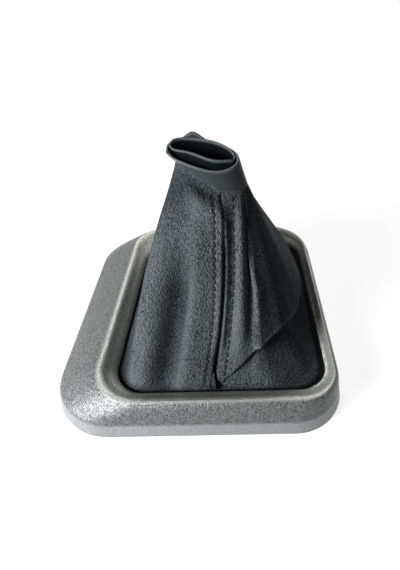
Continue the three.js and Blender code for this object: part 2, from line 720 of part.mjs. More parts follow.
function sleeveGeometry() {
  const seam = neckAngles.map((angle) => neckPoint(angle));
  const atSeam = insetLoop(seam, COLLAR_WALL + SLEEVE_GAP);
  const low = atSeam.map((p) => p.clone().setZ(p.z - SLEEVE_TUCK));
  const high = neckAngles.map((angle) => mouthPoint(SLEEVE_MOUTH, angle));
  const outside = [low];
  for (let k = 0; k <= SLEEVE_STEPS; k += 1) {
    outside.push(atSeam.map((p, i) => p.clone().lerp(high[i], k / SLEEVE_STEPS)));
  }
  const inside = outside.map((loop) => insetLoop(loop, SLEEVE_WALL)).reverse();
  return loftRings([...outside, ...inside]);
}

// Assembly

const silver = { color: 0x8f918f, roughness: 0.5, metalness: 0.6 };
const leatherette = { color: 0x24282a, roughness: 0.6, metalness: 0 };
const smoothTrim = { color: 0x2b2f31, roughness: 0.55, metalness: 0 };
const lining = { color: 0x17191b, roughness: 0.8, metalness: 0 };
const blackPlastic = { color: 0x1a1b1c, roughness: 0.6, metalness: 0 };
const zincSteel = { color: 0xa9abad, roughness: 0.35, metalness: 1 };

const gaiter = new THREE.Group();

function addPart(name, geometry, finish) {
  const mesh = new THREE.Mesh(geometry, new THREE.MeshStandardMaterial(finish));
  mesh.name = name;
  gaiter.add(mesh);
}

addPart("surround", surroundGeometry(), silver);
addPart("retaining_ring", ringGeometry(), blackPlastic);
addPart("left_panel", panelGeometry(LEFT_FOLDS), leatherette);
addPart("right_panel", panelGeometry(RIGHT_FOLDS), leatherette);
addPart("neck_collar", collarGeometry(), smoothTrim);
addPart("neck_sleeve", sleeveGeometry(), lining);
screwPlaces().forEach((place, i) => {
  addPart(`screw_${i + 1}`, screwGeometry(place), zincSteel);
});

export default gaiter;
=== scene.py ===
"""Looks of the gear lever gaiter: a stitched leatherette cover in a silver moulded surround.

Sizes are in millimetres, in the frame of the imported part, and become metres when a mesh is made.
"""

import math

import bpy
import numpy as np
from mathutils import Matrix, Vector
from mathutils.bvhtree import BVHTree

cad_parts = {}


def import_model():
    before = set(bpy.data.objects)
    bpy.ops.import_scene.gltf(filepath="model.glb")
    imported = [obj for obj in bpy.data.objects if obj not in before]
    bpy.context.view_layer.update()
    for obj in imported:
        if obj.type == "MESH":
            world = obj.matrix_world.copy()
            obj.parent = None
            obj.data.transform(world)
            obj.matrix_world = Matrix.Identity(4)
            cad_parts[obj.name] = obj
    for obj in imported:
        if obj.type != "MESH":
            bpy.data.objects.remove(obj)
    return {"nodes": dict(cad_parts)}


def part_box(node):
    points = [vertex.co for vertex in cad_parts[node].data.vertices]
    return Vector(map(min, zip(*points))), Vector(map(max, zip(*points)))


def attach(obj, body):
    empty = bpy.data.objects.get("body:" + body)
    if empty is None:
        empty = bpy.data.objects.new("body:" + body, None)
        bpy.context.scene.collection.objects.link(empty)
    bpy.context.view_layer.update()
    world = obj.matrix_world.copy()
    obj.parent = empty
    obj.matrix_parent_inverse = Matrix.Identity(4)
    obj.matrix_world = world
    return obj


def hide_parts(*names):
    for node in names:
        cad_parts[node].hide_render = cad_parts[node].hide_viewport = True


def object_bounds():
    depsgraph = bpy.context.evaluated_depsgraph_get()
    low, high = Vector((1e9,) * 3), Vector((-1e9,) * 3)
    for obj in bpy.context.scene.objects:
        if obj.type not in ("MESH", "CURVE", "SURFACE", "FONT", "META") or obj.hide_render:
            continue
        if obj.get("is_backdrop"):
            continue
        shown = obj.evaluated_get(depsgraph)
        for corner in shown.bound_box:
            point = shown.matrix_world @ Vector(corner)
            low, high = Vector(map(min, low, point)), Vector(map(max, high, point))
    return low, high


MM = 0.001

# Surround: plan, widths and heights, as in the part
SURROUND_WIDTH = 158
SURROUND_LENGTH = 161
REAR_TAPER = 3
RIM_RADII = (34, 27, 38, 28)
CREST_RADII = (22, 18, 25, 17)
OPENING_RADII = (17, 16, 20, 20)
SIDES = ("left", "right", "front", "back")
FLANK = dict(left=27.2, right=5.7, front=7.4, back=7.2)
INNER_SLOPE = dict(left=7.3, right=2.5, front=10.4, back=7.8)
BAND_HEIGHT = 8.5
BAND_DRAFT = 1.6
BAND_ROUND = 1.4  # half the height over which the lower band turns into the flank
RIM_ROUND = 0.5
CREST_HEIGHT = 21
EDGE_HEIGHT = 13.2
LEDGE_UNDERSIDE = 11.4
LEDGE_WIDTH = 0.55
WALL = 2.2
FLANK_STEPS = ((0.3, 0.24, 0.1), (0.68, 0.61, 0.34), (0.93, 0.88, 0.7))  # rise, left share, other shares
SLOPE_STEPS = ((0.16, 0.06), (0.55, 0.5), (0.94, 0.93), (1, 1.06))  # share across, share down
SEAT_GAP = 0.3
CREST_WEAR = (0.1, 0.3, 0.45, 0.3, 0.1)  # painted highlight: how much paler the paint is on the rings about the crest
BARE_EDGE = (5, 42)  # outline steps from the right front corner over which a dotted pale line is painted on the opening's edge, as a painted highlight
BARE_RINGS = 8  # rings at the foot of the inner slope that carry that painted highlight
BARE_FADE = 4  # the painted highlight is full up to the last of this many parts, in which it fades

# Hem and cloth
CLOTH = 1.1
HEM_WIDTH = dict(left=6, right=3.4, front=6, back=3.4)
RISE_INSET = dict(left=1.3, right=2.8, front=1.5, back=2)
RISE_RADII = (16, 15, 20, 22)
HEM_TOP = LEDGE_UNDERSIDE - SEAT_GAP
HEM_BOTTOM = HEM_TOP - CLOTH
HEM_SHADE = 0.01  # share of the height over which the cloth is painted black above the hem, as painted shade under the ledge
RELIEF_END = 0.02  # share of the height over which the relief fades out at the hem and at the neck
RUB_MIDDLE = 0.5  # painted lightness of the cloth where it has no relief
RUB_SPAN = 5  # relief in millimetres between the darkest and the palest cloth: painted shade in hollows, painted light where it stands out
SEAM_GAP = 0.3

# Bosses and hooks under the surround
BOSS_RADIUS = 3.1
BOSS_STEPS = 32
PILOT_RADIUS = 1.7
HOOK_LENGTH = 14
HOOK_PITCH = 70
HOOK_REACH = 2.4
HOOK_THICKNESS = 1.5
HOOK_ROOT = 3.6  # from the surround's side in to the hook's root in the wall
BOSS_SINK = 0.5

# Neck seam and the two mouths above it
NECK = dict(x=13.2, y=-0.5, z=101, a=17, b=10, turn=-8, lean=2.2, left_rise=9.2, rise_angle=-155)
MOUTH = dict(x=9.5, y=-0.4, z=113.8, a=17, b=9.8, turn=-10, lean=1.2, back_rise=2.2, corner_rise=2.6)
PEAK = dict(angle=112, height=4.6, spread=18)
REAR_CORNER = 165  # angle at which the mouth's pinched left end stands highest
LIP_DIP = dict(angle=-60, depth=2.8)
SLEEVE_MOUTH = dict(x=9.5, y=0.8, z=114.6, a=15.2, b=6.6, turn=-10, lean=2, back_rise=2, corner_rise=1.6)
SLEEVE_REAR = dict(left=1.05, shift=0.6, rise=1.4)  # how the soft lining leans against the rear of the collar
SLEEVE_WAVE = dict(inward=1.6, rise=1.1, angle=-115, spread=38, ripple=0.5, waves=5)  # its loose front edge
COLLAR_LAP = 0.2  # how far the collar's foot reaches down behind the edge of the panels
COLLAR_LEFT = 0.6  # how far its lip is pulled out at the left
COLLAR_FLAP = dict(angle=-166, spread=7, out=0.2, drop=1)  # the pointed corner of the lip there
COLLAR_WALL = 1.2
SLEEVE_WALL = 0.9
SLEEVE_TUCK = 7
SLEEVE_GAP = 0.5

# Mesh steps
ARC_STEPS = 20
SIDE_STEPS = 26
ROW_STEPS = dict(facet=50, roll=12, upper=140)
ROLL_START = 0.3
ROLL_END = 0.34
UNDERCUT = 0.02
FULL_CREASE = 2
CREASE_BULGE = 0.6
CREST_POINT = 2
ROLL_POINT = 1.86
NECK_STEPS = 144
COLLAR_ROWS = 15
TUCK_ROWS = 6
SLEEVE_ROWS = 13
EDGE_STEPS = 6  # steps round the upper edge of the collar and of the sleeve

# Relief of the cloth in millimetres outward. A place is the number of a fold line, a height is a share of
# the way from the hem to the neck, and heights are a low and a high end with their softness.
SEAM_SWELL = dict(out=2.1, heights=(0.3, 0.86, 0.12), left=5, right=2.6)  # with its width on each side
LEFT_ROW_DIP = dict(out=-0.6, width=0.6)
RIGHT_ROW_DIP = dict(out=-0.7, width=1.8)
LEFT_DENTS = (
    dict(out=-3, height=(0.965, 0.035), place=(1.1, 0.9)),  # hollow under the collar
    dict(out=1.2, height=(0.88, 0.05), place=(0.8, 0.8)),  # swelling below it
    dict(out=-2, height=(0.9, 0.1), place=(2.6, 0.8)),  # dip at the left of the neck
)
VALLEY = dict(place=2, slant=0.35, heights=(0.06, 0.5, 0.2))
VALLEY_FOLDS = ((-3.2, 0, 0.4), (1.3, 0.8, 0.35), (0.8, -0.75, 0.35))  # outward, distance beside, width
SIDE_DIP = dict(out=-1.6, heights=(0.06, 0.4, 0.15), place=(3.6, 0.35))
RIB = dict(out=1.5, place=(1.95, 0.75))
FOLD_EDGE = dict(nearest=3.2, farthest=4, start=0.53, slant=2.6, heights=(0.44, 0.88, 0.1))
FOLD_EDGE_FOLDS = ((-0.6, -0.45, 0.22), (0.9, 0, 0.2))
FACET = dict(out=-2.2, heights=(0.04, 0.19, 0.05), start=4.2, ramp=2)
PUCKER = dict(out=0.25, width=1.4, turns=95)

# Painted light and shade of the cloth, as shares: painted highlights on the left ridge, the fold edge and the
# edge of the crease, and painted shade under the collar, on the sides and below the crease
RIDGE_RUB = dict(share=0.15, heights=(0.1, 0.8, 0.1), place=(2.8, 0.2))
LEFT_SHADES = (
    dict(out=-0.3, height=(0.97, 0.05), place=(1.2, 1.3)),
    dict(out=-0.15, height=(0.92, 0.07), place=(2.6, 0.7)),
)
LEFT_SIDE = dict(share=0.38, start=3, ramp=4)
RIGHT_SIDE = dict(share=0.32, below_crease=0.44, beside=0.15, ramp=4)
EDGE_RUB = dict(share=0.4, heights=(0.4, 0.88, 0.1), width=0.16)
CREASE_RUB = dict(share=1.1, start=3.4, end=8, above=0.008, width=0.012)

# Slit along the front seam
SLIT_TOP = 0.86
SLIT_DEPTH = 2.6
SLIT_WIDTH = 1

# Stitching of the front seam
STITCH_PITCH = 3.6
STITCH_LENGTH = 2.7
STITCH_START = 5
STITCH_RINGS = 9
THREAD_RADIUS = 0.48
THREAD_SIDES = 8
THREAD_ARCH = 1.5  # rise of a stitch's middle and depth of its ends, in thread radii
THREAD_SINK = 0.9
LEFT_ROW = 4.6  # distance of each row from the seam
RIGHT_ROW = 5.2
TAPE_PLACES = (0.2, 1.5, 3, 4.5, 6)  # distances from the seam at which the tape behind it is shaped
TAPE_GAP = 0.15
TAPE_THICKNESS = 0.5
CLOSED_ROWS = 5  # rows at the hem where the two panels lie nearly edge to edge
CLOSED_SHARE = 0.1  # share of the seam's gap that is left there


def fold(hem, neck, steps, soft=1.0, crease=0.22, out=0.0, tuck=0.0, low=0.0, mid=0.0, high=0.0, side=0.0):
    """A fold line from the hem to the neck seam, with the mesh steps to the next one."""
    return dict(locals())


RIGHT_FOLDS = (
    fold(0.465, -71, 14, crease=0.07, mid=0.5, side=3.2),
    fold(0.52, -54, 12, crease=0.08, out=0.5, tuck=0.8, mid=0.5, side=2.6),
    fold(0.6, -36, 12, crease=0.155, out=2.2, tuck=3, mid=1.5, high=1, side=0.5),
    fold(0.67, -20, 10, soft=0.6, crease=0.215, out=2, tuck=4.5, mid=-1.5, high=-1),
    fold(0.715, -10, 20, soft=0.1, crease=0.25, out=4.2, tuck=5, mid=0.3),
    fold(1.01, 1, 22, soft=0.8, crease=0.29, out=-7, tuck=4, low=-1),
    fold(1.3, 8, 22, soft=0.6, crease=0.215, out=0, tuck=2.2, mid=1, high=0.5),
    fold(1.5, 20, 20, crease=0.3, out=3.6, low=2.5, mid=-1, high=-1),
    fold(1.8, 36, 14, out=2, low=1.5, mid=-0.5, high=-0.5),
    fold(2, 50, 18, soft=0.5, out=1, low=1),
    fold(2.25, 70, 18, out=-1, mid=-2.5, high=-1),
    fold(2.5, 90, 0),
)
LEFT_FOLDS = (
    fold(0.465, -71, 30, mid=0.5, side=3.2),
    fold(0.33, -98, 24, out=2, low=1, mid=1.6, high=1, side=1.5),
    fold(0.21, -125, 24, out=-3.2, low=-1, mid=-1.2, high=0.3, side=1),
    fold(0.05, -165, 24, soft=0.1, out=4, low=0.5, mid=3.5, high=2),
    fold(-0.2, -183, 22, out=-2, mid=-1.5),
    fold(-0.5, -200, 18, out=-1, mid=-2, high=-0.8),
    fold(-0.78, -217, 14),
    fold(-1, -232, 18, soft=0.5, out=1.5, mid=1, high=0.5),
    fold(-1.25, -250, 18, out=-1, mid=-2.5, high=-1),
    fold(-1.5, -270, 0),
)

# Camera, fitted to the photograph: focal length and principal point in its pixels
PHOTO_WIDTH = 400
PHOTO_HEIGHT = 570
FOCAL_PIXELS = 412
PRINCIPAL_X = 232.83
CAMERA_PLACE = (25.19, -182.48, 199.83)
CAMERA_PITCH = 42.911
CAMERA_YAW = 1.451
CAMERA_ROLL = 2.5
SENSOR = 36


# Outlines


def by_side(value):
    return {side: value(side) for side in SIDES}


def add_inset(first, second):
    return by_side(lambda side: first[side] + second[side])


def even_inset(value):
    return by_side(lambda side: value)


def mix_radii(first, second, share):
    return [a + (b - a) * share for a, b in zip(first, second)]


def shrink_radii(radii, by):
    return [max(1, radius - by) for radius in radii]


def plan_corners(inset):
    x, y = SURROUND_WIDTH / 2, SURROUND_LENGTH / 2
    left, right = inset["left"] - x, x - inset["right"]
    front, back = inset["front"] - y, y - inset["back"]
    return np.array([(left, front), (right, front), (right - REAR_TAPER, back), (left + REAR_TAPER, back)])


def unit(vectors):
    return vectors / np.maximum(np.linalg.norm(vectors, axis=-1, keepdims=True), 1e-12)


def corner_arc(previous, corner, following, radius):
    toward_previous, toward_next = unit(previous - corner), unit(following - corner)
    half = math.acos(toward_previous @ toward_next) / 2
    centre = corner + unit(toward_previous + toward_next) * radius / math.sin(half)
    start = corner + toward_previous * radius / math.tan(half) - centre
    turn = np.linspace(0, math.pi - 2 * half, ARC_STEPS + 1)
    x = start[0] * np.cos(turn) - start[1] * np.sin(turn)
    y = start[0] * np.sin(turn) + start[1] * np.cos(turn)
    return np.stack([x, y], 1) + centre


def rounded_outline(corners, radii):
    """An anticlockwise outline with rounded corners, each side and each corner in equal steps."""
    arcs = [corner_arc(corners[i - 1], corners[i], corners[(i + 1) % 4], radii[i]) for i in range(4)]
    points = []
    for i, arc in enumerate(arcs):
        target = arcs[(i + 1) % 4][0]
        share = (np.arange(1, SIDE_STEPS) / SIDE_STEPS)[:, None]
        points += [arc, arc[-1] + (target - arc[-1]) * share]
    return np.concatenate(points)


def ring_at(inset, radii, z):
    flat = rounded_outline(plan_corners(inset), radii)
    return np.column_stack([flat, np.full(len(flat), float(z))])


OPENING_INSET = add_inset(FLANK, INNER_SLOPE)
RISE = add_inset(OPENING_INSET, RISE_INSET)
HEM_INSET = by_side(lambda side: OPENING_INSET[side] - HEM_WIDTH[side])


class OutlineReader:
    """Reads a closed outline by its side number plus a fraction, between the middles of the corners."""

    def __init__(self, corners, radii):
        outline = rounded_outline(corners, radii)
        self.points = np.vstack([outline, outline[:1]])
        self.lengths = np.r_[0, np.cumsum(np.linalg.norm(np.diff(self.points, axis=0), axis=1))]
        firsts = [side * (ARC_STEPS + SIDE_STEPS) for side in range(4)]
        middles = [(self.lengths[i] + self.lengths[i + ARC_STEPS]) / 2 for i in firsts]
        self.corners = np.array([*middles, middles[0] + self.lengths[-1]])

    def __call__(self, place):
        turn = np.mod(place, 4)
        length = np.mod(np.interp(turn, np.arange(5), self.corners), self.lengths[-1])
        return np.stack([np.interp(length, self.lengths, self.points[:, k]) for k in (0, 1)], -1)


rise_at = OutlineReader(plan_corners(RISE), RISE_RADII)
hem_edge_at = OutlineReader(plan_corners(HEM_INSET), CREST_RADII)


def hermite(p1, p2, m1, m2, f):
    ease = f * f * (3 - 2 * f)
    return p1 + (p2 - p1) * ease + m1 * (f**3 - 2 * f * f + f) + m2 * (f**3 - f * f)


def smooth_through(points, t):
    """A smooth curve through points at equal steps, read at t between 0 and the last index."""
    points = np.asarray(points, float)
    last = len(points) - 1
    i = min(int(t), last - 1)
    before = (points[i + 1] - points[i - 1]) / 2 if i > 0 else points[1] - points[0]
    after = (points[i + 2] - points[i]) / 2 if i + 2 <= last else points[last] - points[last - 1]
    return hermite(points[i], points[i + 1], before, after, t - i)


def smooth_rings(rings, steps):
    """More rings between the given ones, on a smooth curve whose pull follows the spacing of the rings."""
    rings = np.asarray(rings, float)
    chords = np.diff(rings, axis=0)
    spans = np.linalg.norm(chords, axis=2, keepdims=True) + 1e-9
    slopes = chords / spans
    inner = (slopes[1:] * spans[:-1] + slopes[:-1] * spans[1:]) / (spans[1:] + spans[:-1])
    tangents = np.concatenate([slopes[:1], inner, slopes[-1:]])
    out = []
    for i, span in enumerate(spans):
        for k in range(steps):
            out.append(hermite(rings[i], rings[i + 1], tangents[i] * span, tangents[i + 1] * span, k / steps))
    return [*out, rings[-1]]


# Meshes


def new_object(name, points, faces, sharp=40):
    mesh = bpy.data.meshes.new(name)
    mesh.from_pydata((np.asarray(points) * MM).tolist(), [], [list(map(int, f)) for f in faces])
    mesh.validate()
    mesh.shade_smooth()
    mesh.set_sharp_from_angle(angle=math.radians(sharp))
    piece = bpy.data.objects.new(name, mesh)
    bpy.context.scene.collection.objects.link(piece)
    return piece


def mark_points(piece, name, values):
    """Stores one number for each point, which a material reads by its name."""
    piece.data.attributes.new(name, "FLOAT", "POINT").data.foreach_set("value", np.asarray(values, float))


def box_quads(low, high):
    ends = [(low[k], high[k]) for k in range(3)]
    points = np.array([(x, y, z) for z in ends[2] for y in ends[1] for x in ends[0]])
    quads = [(0, 2, 3, 1), (4, 5, 7, 6), (0, 1, 5, 4), (1, 3, 7, 5), (3, 2, 6, 7), (2, 0, 4, 6)]
    return points, np.array(quads)


def joined(blocks):
    """Points and quads of several bodies as one."""
    starts = np.cumsum([0, *(len(points) for points, _ in blocks)])
    quads = [quads + start for (_, quads), start in zip(blocks, starts)]
    return np.concatenate([points for points, _ in blocks]), np.concatenate(quads)


def grid_faces(rows, columns, start=0, closed=False, flip=False):
    """Quads of a grid of points, row by row; closed joins the last column to the first."""
    r, c = np.meshgrid(np.arange(rows - 1), np.arange(columns - (0 if closed else 1)), indexing="ij")
    d = (c + 1) % columns
    quads = np.stack([r * columns + c, r * columns + d, (r + 1) * columns + d, (r + 1) * columns + c], -1)
    quads = quads.reshape(-1, 4) + start
    return quads[:, ::-1] if flip else quads


def signed_volume(points, faces):
    points = np.asarray(points)
    total = 0
    for quad in (faces[:, [0, 1, 2]], faces[:, [0, 2, 3]]):
        a, b, c = (points[quad[:, k]] for k in range(3))
        total += (a * np.cross(b, c)).sum()
    return total


def closed_loft(rings):
    """Points and quads of a body that closes around each ring and from the last ring to the first."""
    points = np.concatenate(rings)
    rows, columns = len(rings), len(rings[0])
    index = np.arange(rows * columns).reshape(rows, columns)
    index = np.vstack([index, index[:1]])
    a, b = index[:-1], index[1:]
    quads = np.stack([a, np.roll(a, -1, 1), np.roll(b, -1, 1), b], -1).reshape(-1, 4)
    return points, quads if signed_volume(points, quads) > 0 else quads[:, ::-1]


def thick_sheet(outer, inner):
    """Points and quads of a sheet closed between its outer and its inner grid."""
    rows, columns = outer.shape[:2]
    points = np.concatenate([outer.reshape(-1, 3), inner.reshape(-1, 3)])
    front = np.arange(rows * columns).reshape(rows, columns)
    rear = front + rows * columns
    quads = [grid_faces(rows, columns), grid_faces(rows, columns, rows * columns, flip=True)]
    for a, b in (
        (front[:, 0], rear[:, 0]),
        (rear[:, -1], front[:, -1]),
        (rear[0], front[0]),
        (front[-1], rear[-1]),
    ):
        quads.append(np.stack([a[:-1], a[1:], b[1:], b[:-1]], -1))
    quads = np.concatenate(quads)
    return points, quads if signed_volume(points, quads) > 0 else quads[:, ::-1]


# Surround


def flank_inset(step):
    rise, left, others = step
    shares = even_inset(others) | dict(left=left)
    return by_side(lambda side: BAND_DRAFT + (FLANK[side] - BAND_DRAFT) * shares[side])


def flank_height(step):
    return BAND_HEIGHT + (CREST_HEIGHT - BAND_HEIGHT) * step[0]


def flank_radii(step):
    return mix_radii(RIM_RADII, CREST_RADII, step[2])


def slope_inset(across):
    return by_side(lambda side: FLANK[side] + INNER_SLOPE[side] * across)


def slope_ring(across, z):
    return ring_at(slope_inset(across), mix_radii(CREST_RADII, OPENING_RADII, across), z)


def slope_height(down):
    return CREST_HEIGHT - (CREST_HEIGHT - EDGE_HEIGHT) * down


def band_ring(z):
    share = z / BAND_HEIGHT
    return ring_at(even_inset(BAND_DRAFT * share), shrink_radii(RIM_RADII, BAND_DRAFT / 2 * share), z)


def outer_skin():
    """Rings of the visible skin: the lower band, the flank over the crest and the inner slope."""
    rim = ring_at(even_inset(RIM_ROUND * 0.3), shrink_radii(RIM_RADII, RIM_ROUND * 0.3), 0)
    band = [band_ring(z) for z in np.linspace(RIM_ROUND, BAND_HEIGHT - BAND_ROUND, 4)]
    flank = [ring_at(flank_inset(s), flank_radii(s), flank_height(s)) for s in FLANK_STEPS]
    slope = [slope_ring(across, slope_height(down)) for across, down in SLOPE_STEPS]
    crest = ring_at(FLANK, CREST_RADII, CREST_HEIGHT)
    return [rim, *smooth_rings([*band, *flank, crest, *slope], 5)]


def under_skin():
    """Rings of the underside, from the ledge back down to the rim."""
    down, inward = WALL * 0.8, WALL * 0.75
    ledge_edge = ring_at(OPENING_INSET, OPENING_RADII, LEDGE_UNDERSIDE)
    ledge = slope_ring(1 - LEDGE_WIDTH, LEDGE_UNDERSIDE)
    crest = ring_at(FLANK, CREST_RADII, CREST_HEIGHT - WALL)
    flank = [
        ring_at(add_inset(flank_inset(s), even_inset(inward)), flank_radii(s), flank_height(s) - down)
        for s in (FLANK_STEPS[1], FLANK_STEPS[0])
    ]
    shrunk = shrink_radii(RIM_RADII, WALL)
    band = ring_at(even_inset(BAND_DRAFT + WALL), shrunk, BAND_HEIGHT - down)
    return [ledge_edge, ledge, *smooth_rings([crest, *flank, band], 3), ring_at(even_inset(WALL), shrunk, 0)]


def make_surround(paint):
    """The shell, with marks for its painted highlights on the crest and at the opening's edge, for the
    painted light on its inner slope, and for a painted dotted highlight along the right of the opening's
    edge.
    """
    outer, under = outer_skin(), under_skin()
    shell = new_object("surround_shell", *closed_loft([*outer, *under]), sharp=50)
    crest = int(np.argmax([ring[0, 2] for ring in outer]))
    # Painted highlight: paler paint on the rings about the crest and at the foot of the inner slope.
    wear = np.zeros(len(outer) + len(under))
    reach = len(CREST_WEAR) // 2
    wear[crest - reach : crest + reach + 1] = CREST_WEAR
    wear[len(outer) - 2 : len(outer) + 1] = 1
    mark_points(shell, "wear", np.repeat(wear, len(outer[0])))
    # Painted light: the inner slope is marked to be painted paler and warmer, as if lit.
    slope = np.zeros(len(wear))
    slope[crest + 1 : len(outer)] = 1
    mark_points(shell, "slope", np.repeat(slope, len(outer[0])))
    # Painted highlight: a dotted pale line along the right part of the opening's edge.
    bare = np.zeros((len(wear), len(outer[0])))
    first = ARC_STEPS + SIDE_STEPS + BARE_EDGE[0]
    last = ARC_STEPS + SIDE_STEPS + BARE_EDGE[1]
    edge = slice(len(outer) - BARE_RINGS, len(outer) + 1)
    bare[edge, first:last] = np.minimum(1, np.linspace(BARE_FADE, 0, last - first))
    mark_points(shell, "bare", bare.ravel())
    shell.data.materials.append(paint)
    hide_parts("surround")
    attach(shell, "root")
    return shell


def make_bosses(paint, shell, screws, ring):
    """A hollow boss above each screw and the two hooks of the narrow side."""
    points = [vertex.co / MM for vertex in shell.data.vertices]
    skin = BVHTree.FromPolygons(points, [polygon.vertices for polygon in shell.data.polygons])
    turn = np.linspace(0, 2 * math.pi, BOSS_STEPS, endpoint=False)
    circle = np.column_stack([np.cos(turn), np.sin(turn)])
    bottom = ring[1].z / MM + SEAT_GAP
    blocks = []
    for x, y in screws:
        underside = min(
            skin.ray_cast(Vector((x + BOSS_RADIUS * a, y + BOSS_RADIUS * b, bottom)), Vector((0, 0, 1)))[0].z
            for a, b in circle[::4]
        )
        top = underside + BOSS_SINK
        section = ((BOSS_RADIUS, bottom), (BOSS_RADIUS, top), (PILOT_RADIUS, top), (PILOT_RADIUS, bottom))
        rings = [np.column_stack([circle * r + (x, y), np.full(len(circle), z)]) for r, z in section]
        blocks.append(closed_loft(rings))
    top = ring[0].z / MM - SEAT_GAP
    inner = ring[1].x / MM - HOOK_REACH
    for y in (-HOOK_PITCH / 2, HOOK_PITCH / 2):
        low = (inner, y - HOOK_LENGTH / 2, top - HOOK_THICKNESS)
        blocks.append(box_quads(low, (SURROUND_WIDTH / 2 - HOOK_ROOT, y + HOOK_LENGTH / 2, top)))
    bosses = new_object("surround_bosses", *joined(blocks))
    bosses.data.materials.append(paint)
    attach(bosses, "root")


# Gaiter panels


def ellipse_at(shape, angle):
    a = np.radians(angle)
    turn = math.radians(shape["turn"])
    x, y = shape["a"] * np.cos(a), shape["b"] * np.sin(a)
    across = shape["x"] + x * math.cos(turn) - y * math.sin(turn)
    along = shape["y"] + x * math.sin(turn) + y * math.cos(turn)
    return np.stack([across, along], -1)


def neck_point(angle):
    """The neck seam dips at the right and rises at the left end."""
    along = np.cos(np.radians(angle))
    rise = np.maximum(0, np.cos(np.radians(angle - NECK["rise_angle"])))
    z = NECK["z"] - NECK["lean"] * along + NECK["left_rise"] * rise
    return np.concatenate([ellipse_at(NECK, angle), z[..., None]], -1)


def fold_profile(line, row):
    """Height fraction, outward offset and sideways offset of a fold line at one row."""
    crease, out, tuck = line["crease"], line["out"], line["tuck"]
    above = 1 - crease
    hem, end = (0, 0), (1, 0)
    crest = np.array([crease, out])
    tucked = np.array([crease - UNDERCUT, out - tuck])
    first = (crease + above / 3, out * 2 / 3 + line["mid"])
    second = (crease + above * 2 / 3, out / 3 + line["high"])
    plain = [hem, (crease / 2, out / 2 + line["low"]), crest, first, second, end]
    share = min(1, tuck / FULL_CREASE)
    if row <= ROLL_START:
        t = row / ROLL_START
        smooth = smooth_through(plain, ROLL_POINT * t)
        creased = smooth_through([hem, (tucked[0] / 2, tucked[1] / 2 + line["low"]), tucked], 2 * t)
    elif row <= ROLL_END:
        t = (row - ROLL_START) / (ROLL_END - ROLL_START)
        smooth = smooth_through(plain, ROLL_POINT + (CREST_POINT - ROLL_POINT) * t)
        creased = tucked + (crest - tucked) * t
        creased[0] -= UNDERCUT * CREASE_BULGE * math.sin(math.pi * t)
    else:
        t = (row - ROLL_END) / (1 - ROLL_END)
        smooth = smooth_through(plain, CREST_POINT + 3 * t)
        creased = smooth_through([crest, first, second, end], 3 * t)
    height, offset = smooth * (1 - share) + creased * share
    return height, offset, line["side"] * math.sin(math.pi * min(1, max(0, height)))


def row_fractions():
    facet = np.linspace(0, ROLL_START, ROW_STEPS["facet"] + 1)
    roll = np.linspace(ROLL_START, ROLL_END, ROW_STEPS["roll"] + 1)
    upper = np.linspace(ROLL_END, 1, ROW_STEPS["upper"] + 1)
    return np.r_[facet, roll[1:], upper[1:]]


def outward_at(hem_place):
    return unit(rise_at(hem_place) - (NECK["x"], NECK["y"]))


def panel_states(folds):
    """For every row and column: place on the hem, neck angle, height, outward and sideways offset."""
    rows = row_fractions()
    states = np.array([[(f["hem"], f["neck"], *fold_profile(f, row)) for f in folds] for row in rows])
    soft = np.array([[1, 1, f["soft"], f["soft"], f["soft"]] for f in folds])
    chords = np.diff(states, axis=1)
    smooth = np.concatenate([chords[:, :1], (chords[:, 1:] + chords[:, :-1]) / 2, chords[:, -1:]], 1)
    soft[0] = soft[-1] = 0
    columns, places = [], []
    for i in range(len(folds) - 1):
        chord = chords[:, i]
        m1 = smooth[:, i] * soft[i] + chord * (1 - soft[i])
        m2 = smooth[:, i + 1] * soft[i + 1] + chord * (1 - soft[i + 1])
        steps = folds[i]["steps"]
        for k in range(steps + (1 if i == len(folds) - 2 else 0)):
            columns.append(hermite(states[:, i], states[:, i + 1], m1, m2, k / steps))
            places.append(i + k / steps)
    return np.stack(columns, 1), np.array(places)


def cloth_points(states):
    foot = rise_at(states[..., 0])
    base = np.concatenate([foot, np.full(foot.shape[:-1] + (1,), HEM_TOP)], -1)
    outward = outward_at(states[..., 0])
    height, offset, sideways = (states[..., k, None] for k in (2, 3, 4))
    points = base + (neck_point(states[..., 1]) - base) * height
    tangent = np.stack([-outward[..., 1], outward[..., 0]], -1)
    points[..., :2] += outward * offset + tangent * sideways
    return points


def grid_normals(points, anticlockwise):
    across = np.gradient(points, axis=1)
    up = np.gradient(points, axis=0)
    return unit(np.cross(across, up)) * anticlockwise


def bell(value, centre, width):
    return np.exp(-(((value - centre) / width) ** 2))


def ramp(value, steepness):
    return np.clip(value * steepness, 0, 1)


def seam_distance(points):
    """Distance of each point from the front seam, along its row."""
    steps = np.linalg.norm(np.diff(points, axis=1), axis=2)
    return np.concatenate([np.zeros((len(points), 1)), np.cumsum(steps, 1)], 1)


def seam_groove(height, seam):
    """The groove along the seam, which opens to a slit below the upper part."""
    opening = np.clip((SLIT_TOP - height) * 6, 0.3, 1)
    return -SLIT_DEPTH * opening * bell(seam, 0, SLIT_WIDTH)


def between(height, low, high, softness):
    """1 between two heights, falling to 0 over the softness beyond them."""
    return ramp(height - low + softness, 1 / softness) * ramp(high - height + softness, 1 / softness)


def dents(rows, place, height):
    """The sum of local swellings and hollows, each with its centre and its width."""
    return sum(row["out"] * bell(height, *row["height"]) * bell(place, *row["place"]) for row in rows)


def folds_along(rows, place, line):
    """The sum of ridges and valleys that run along a line."""
    return sum(out * bell(place, line + beside, width) for out, beside, width in rows)


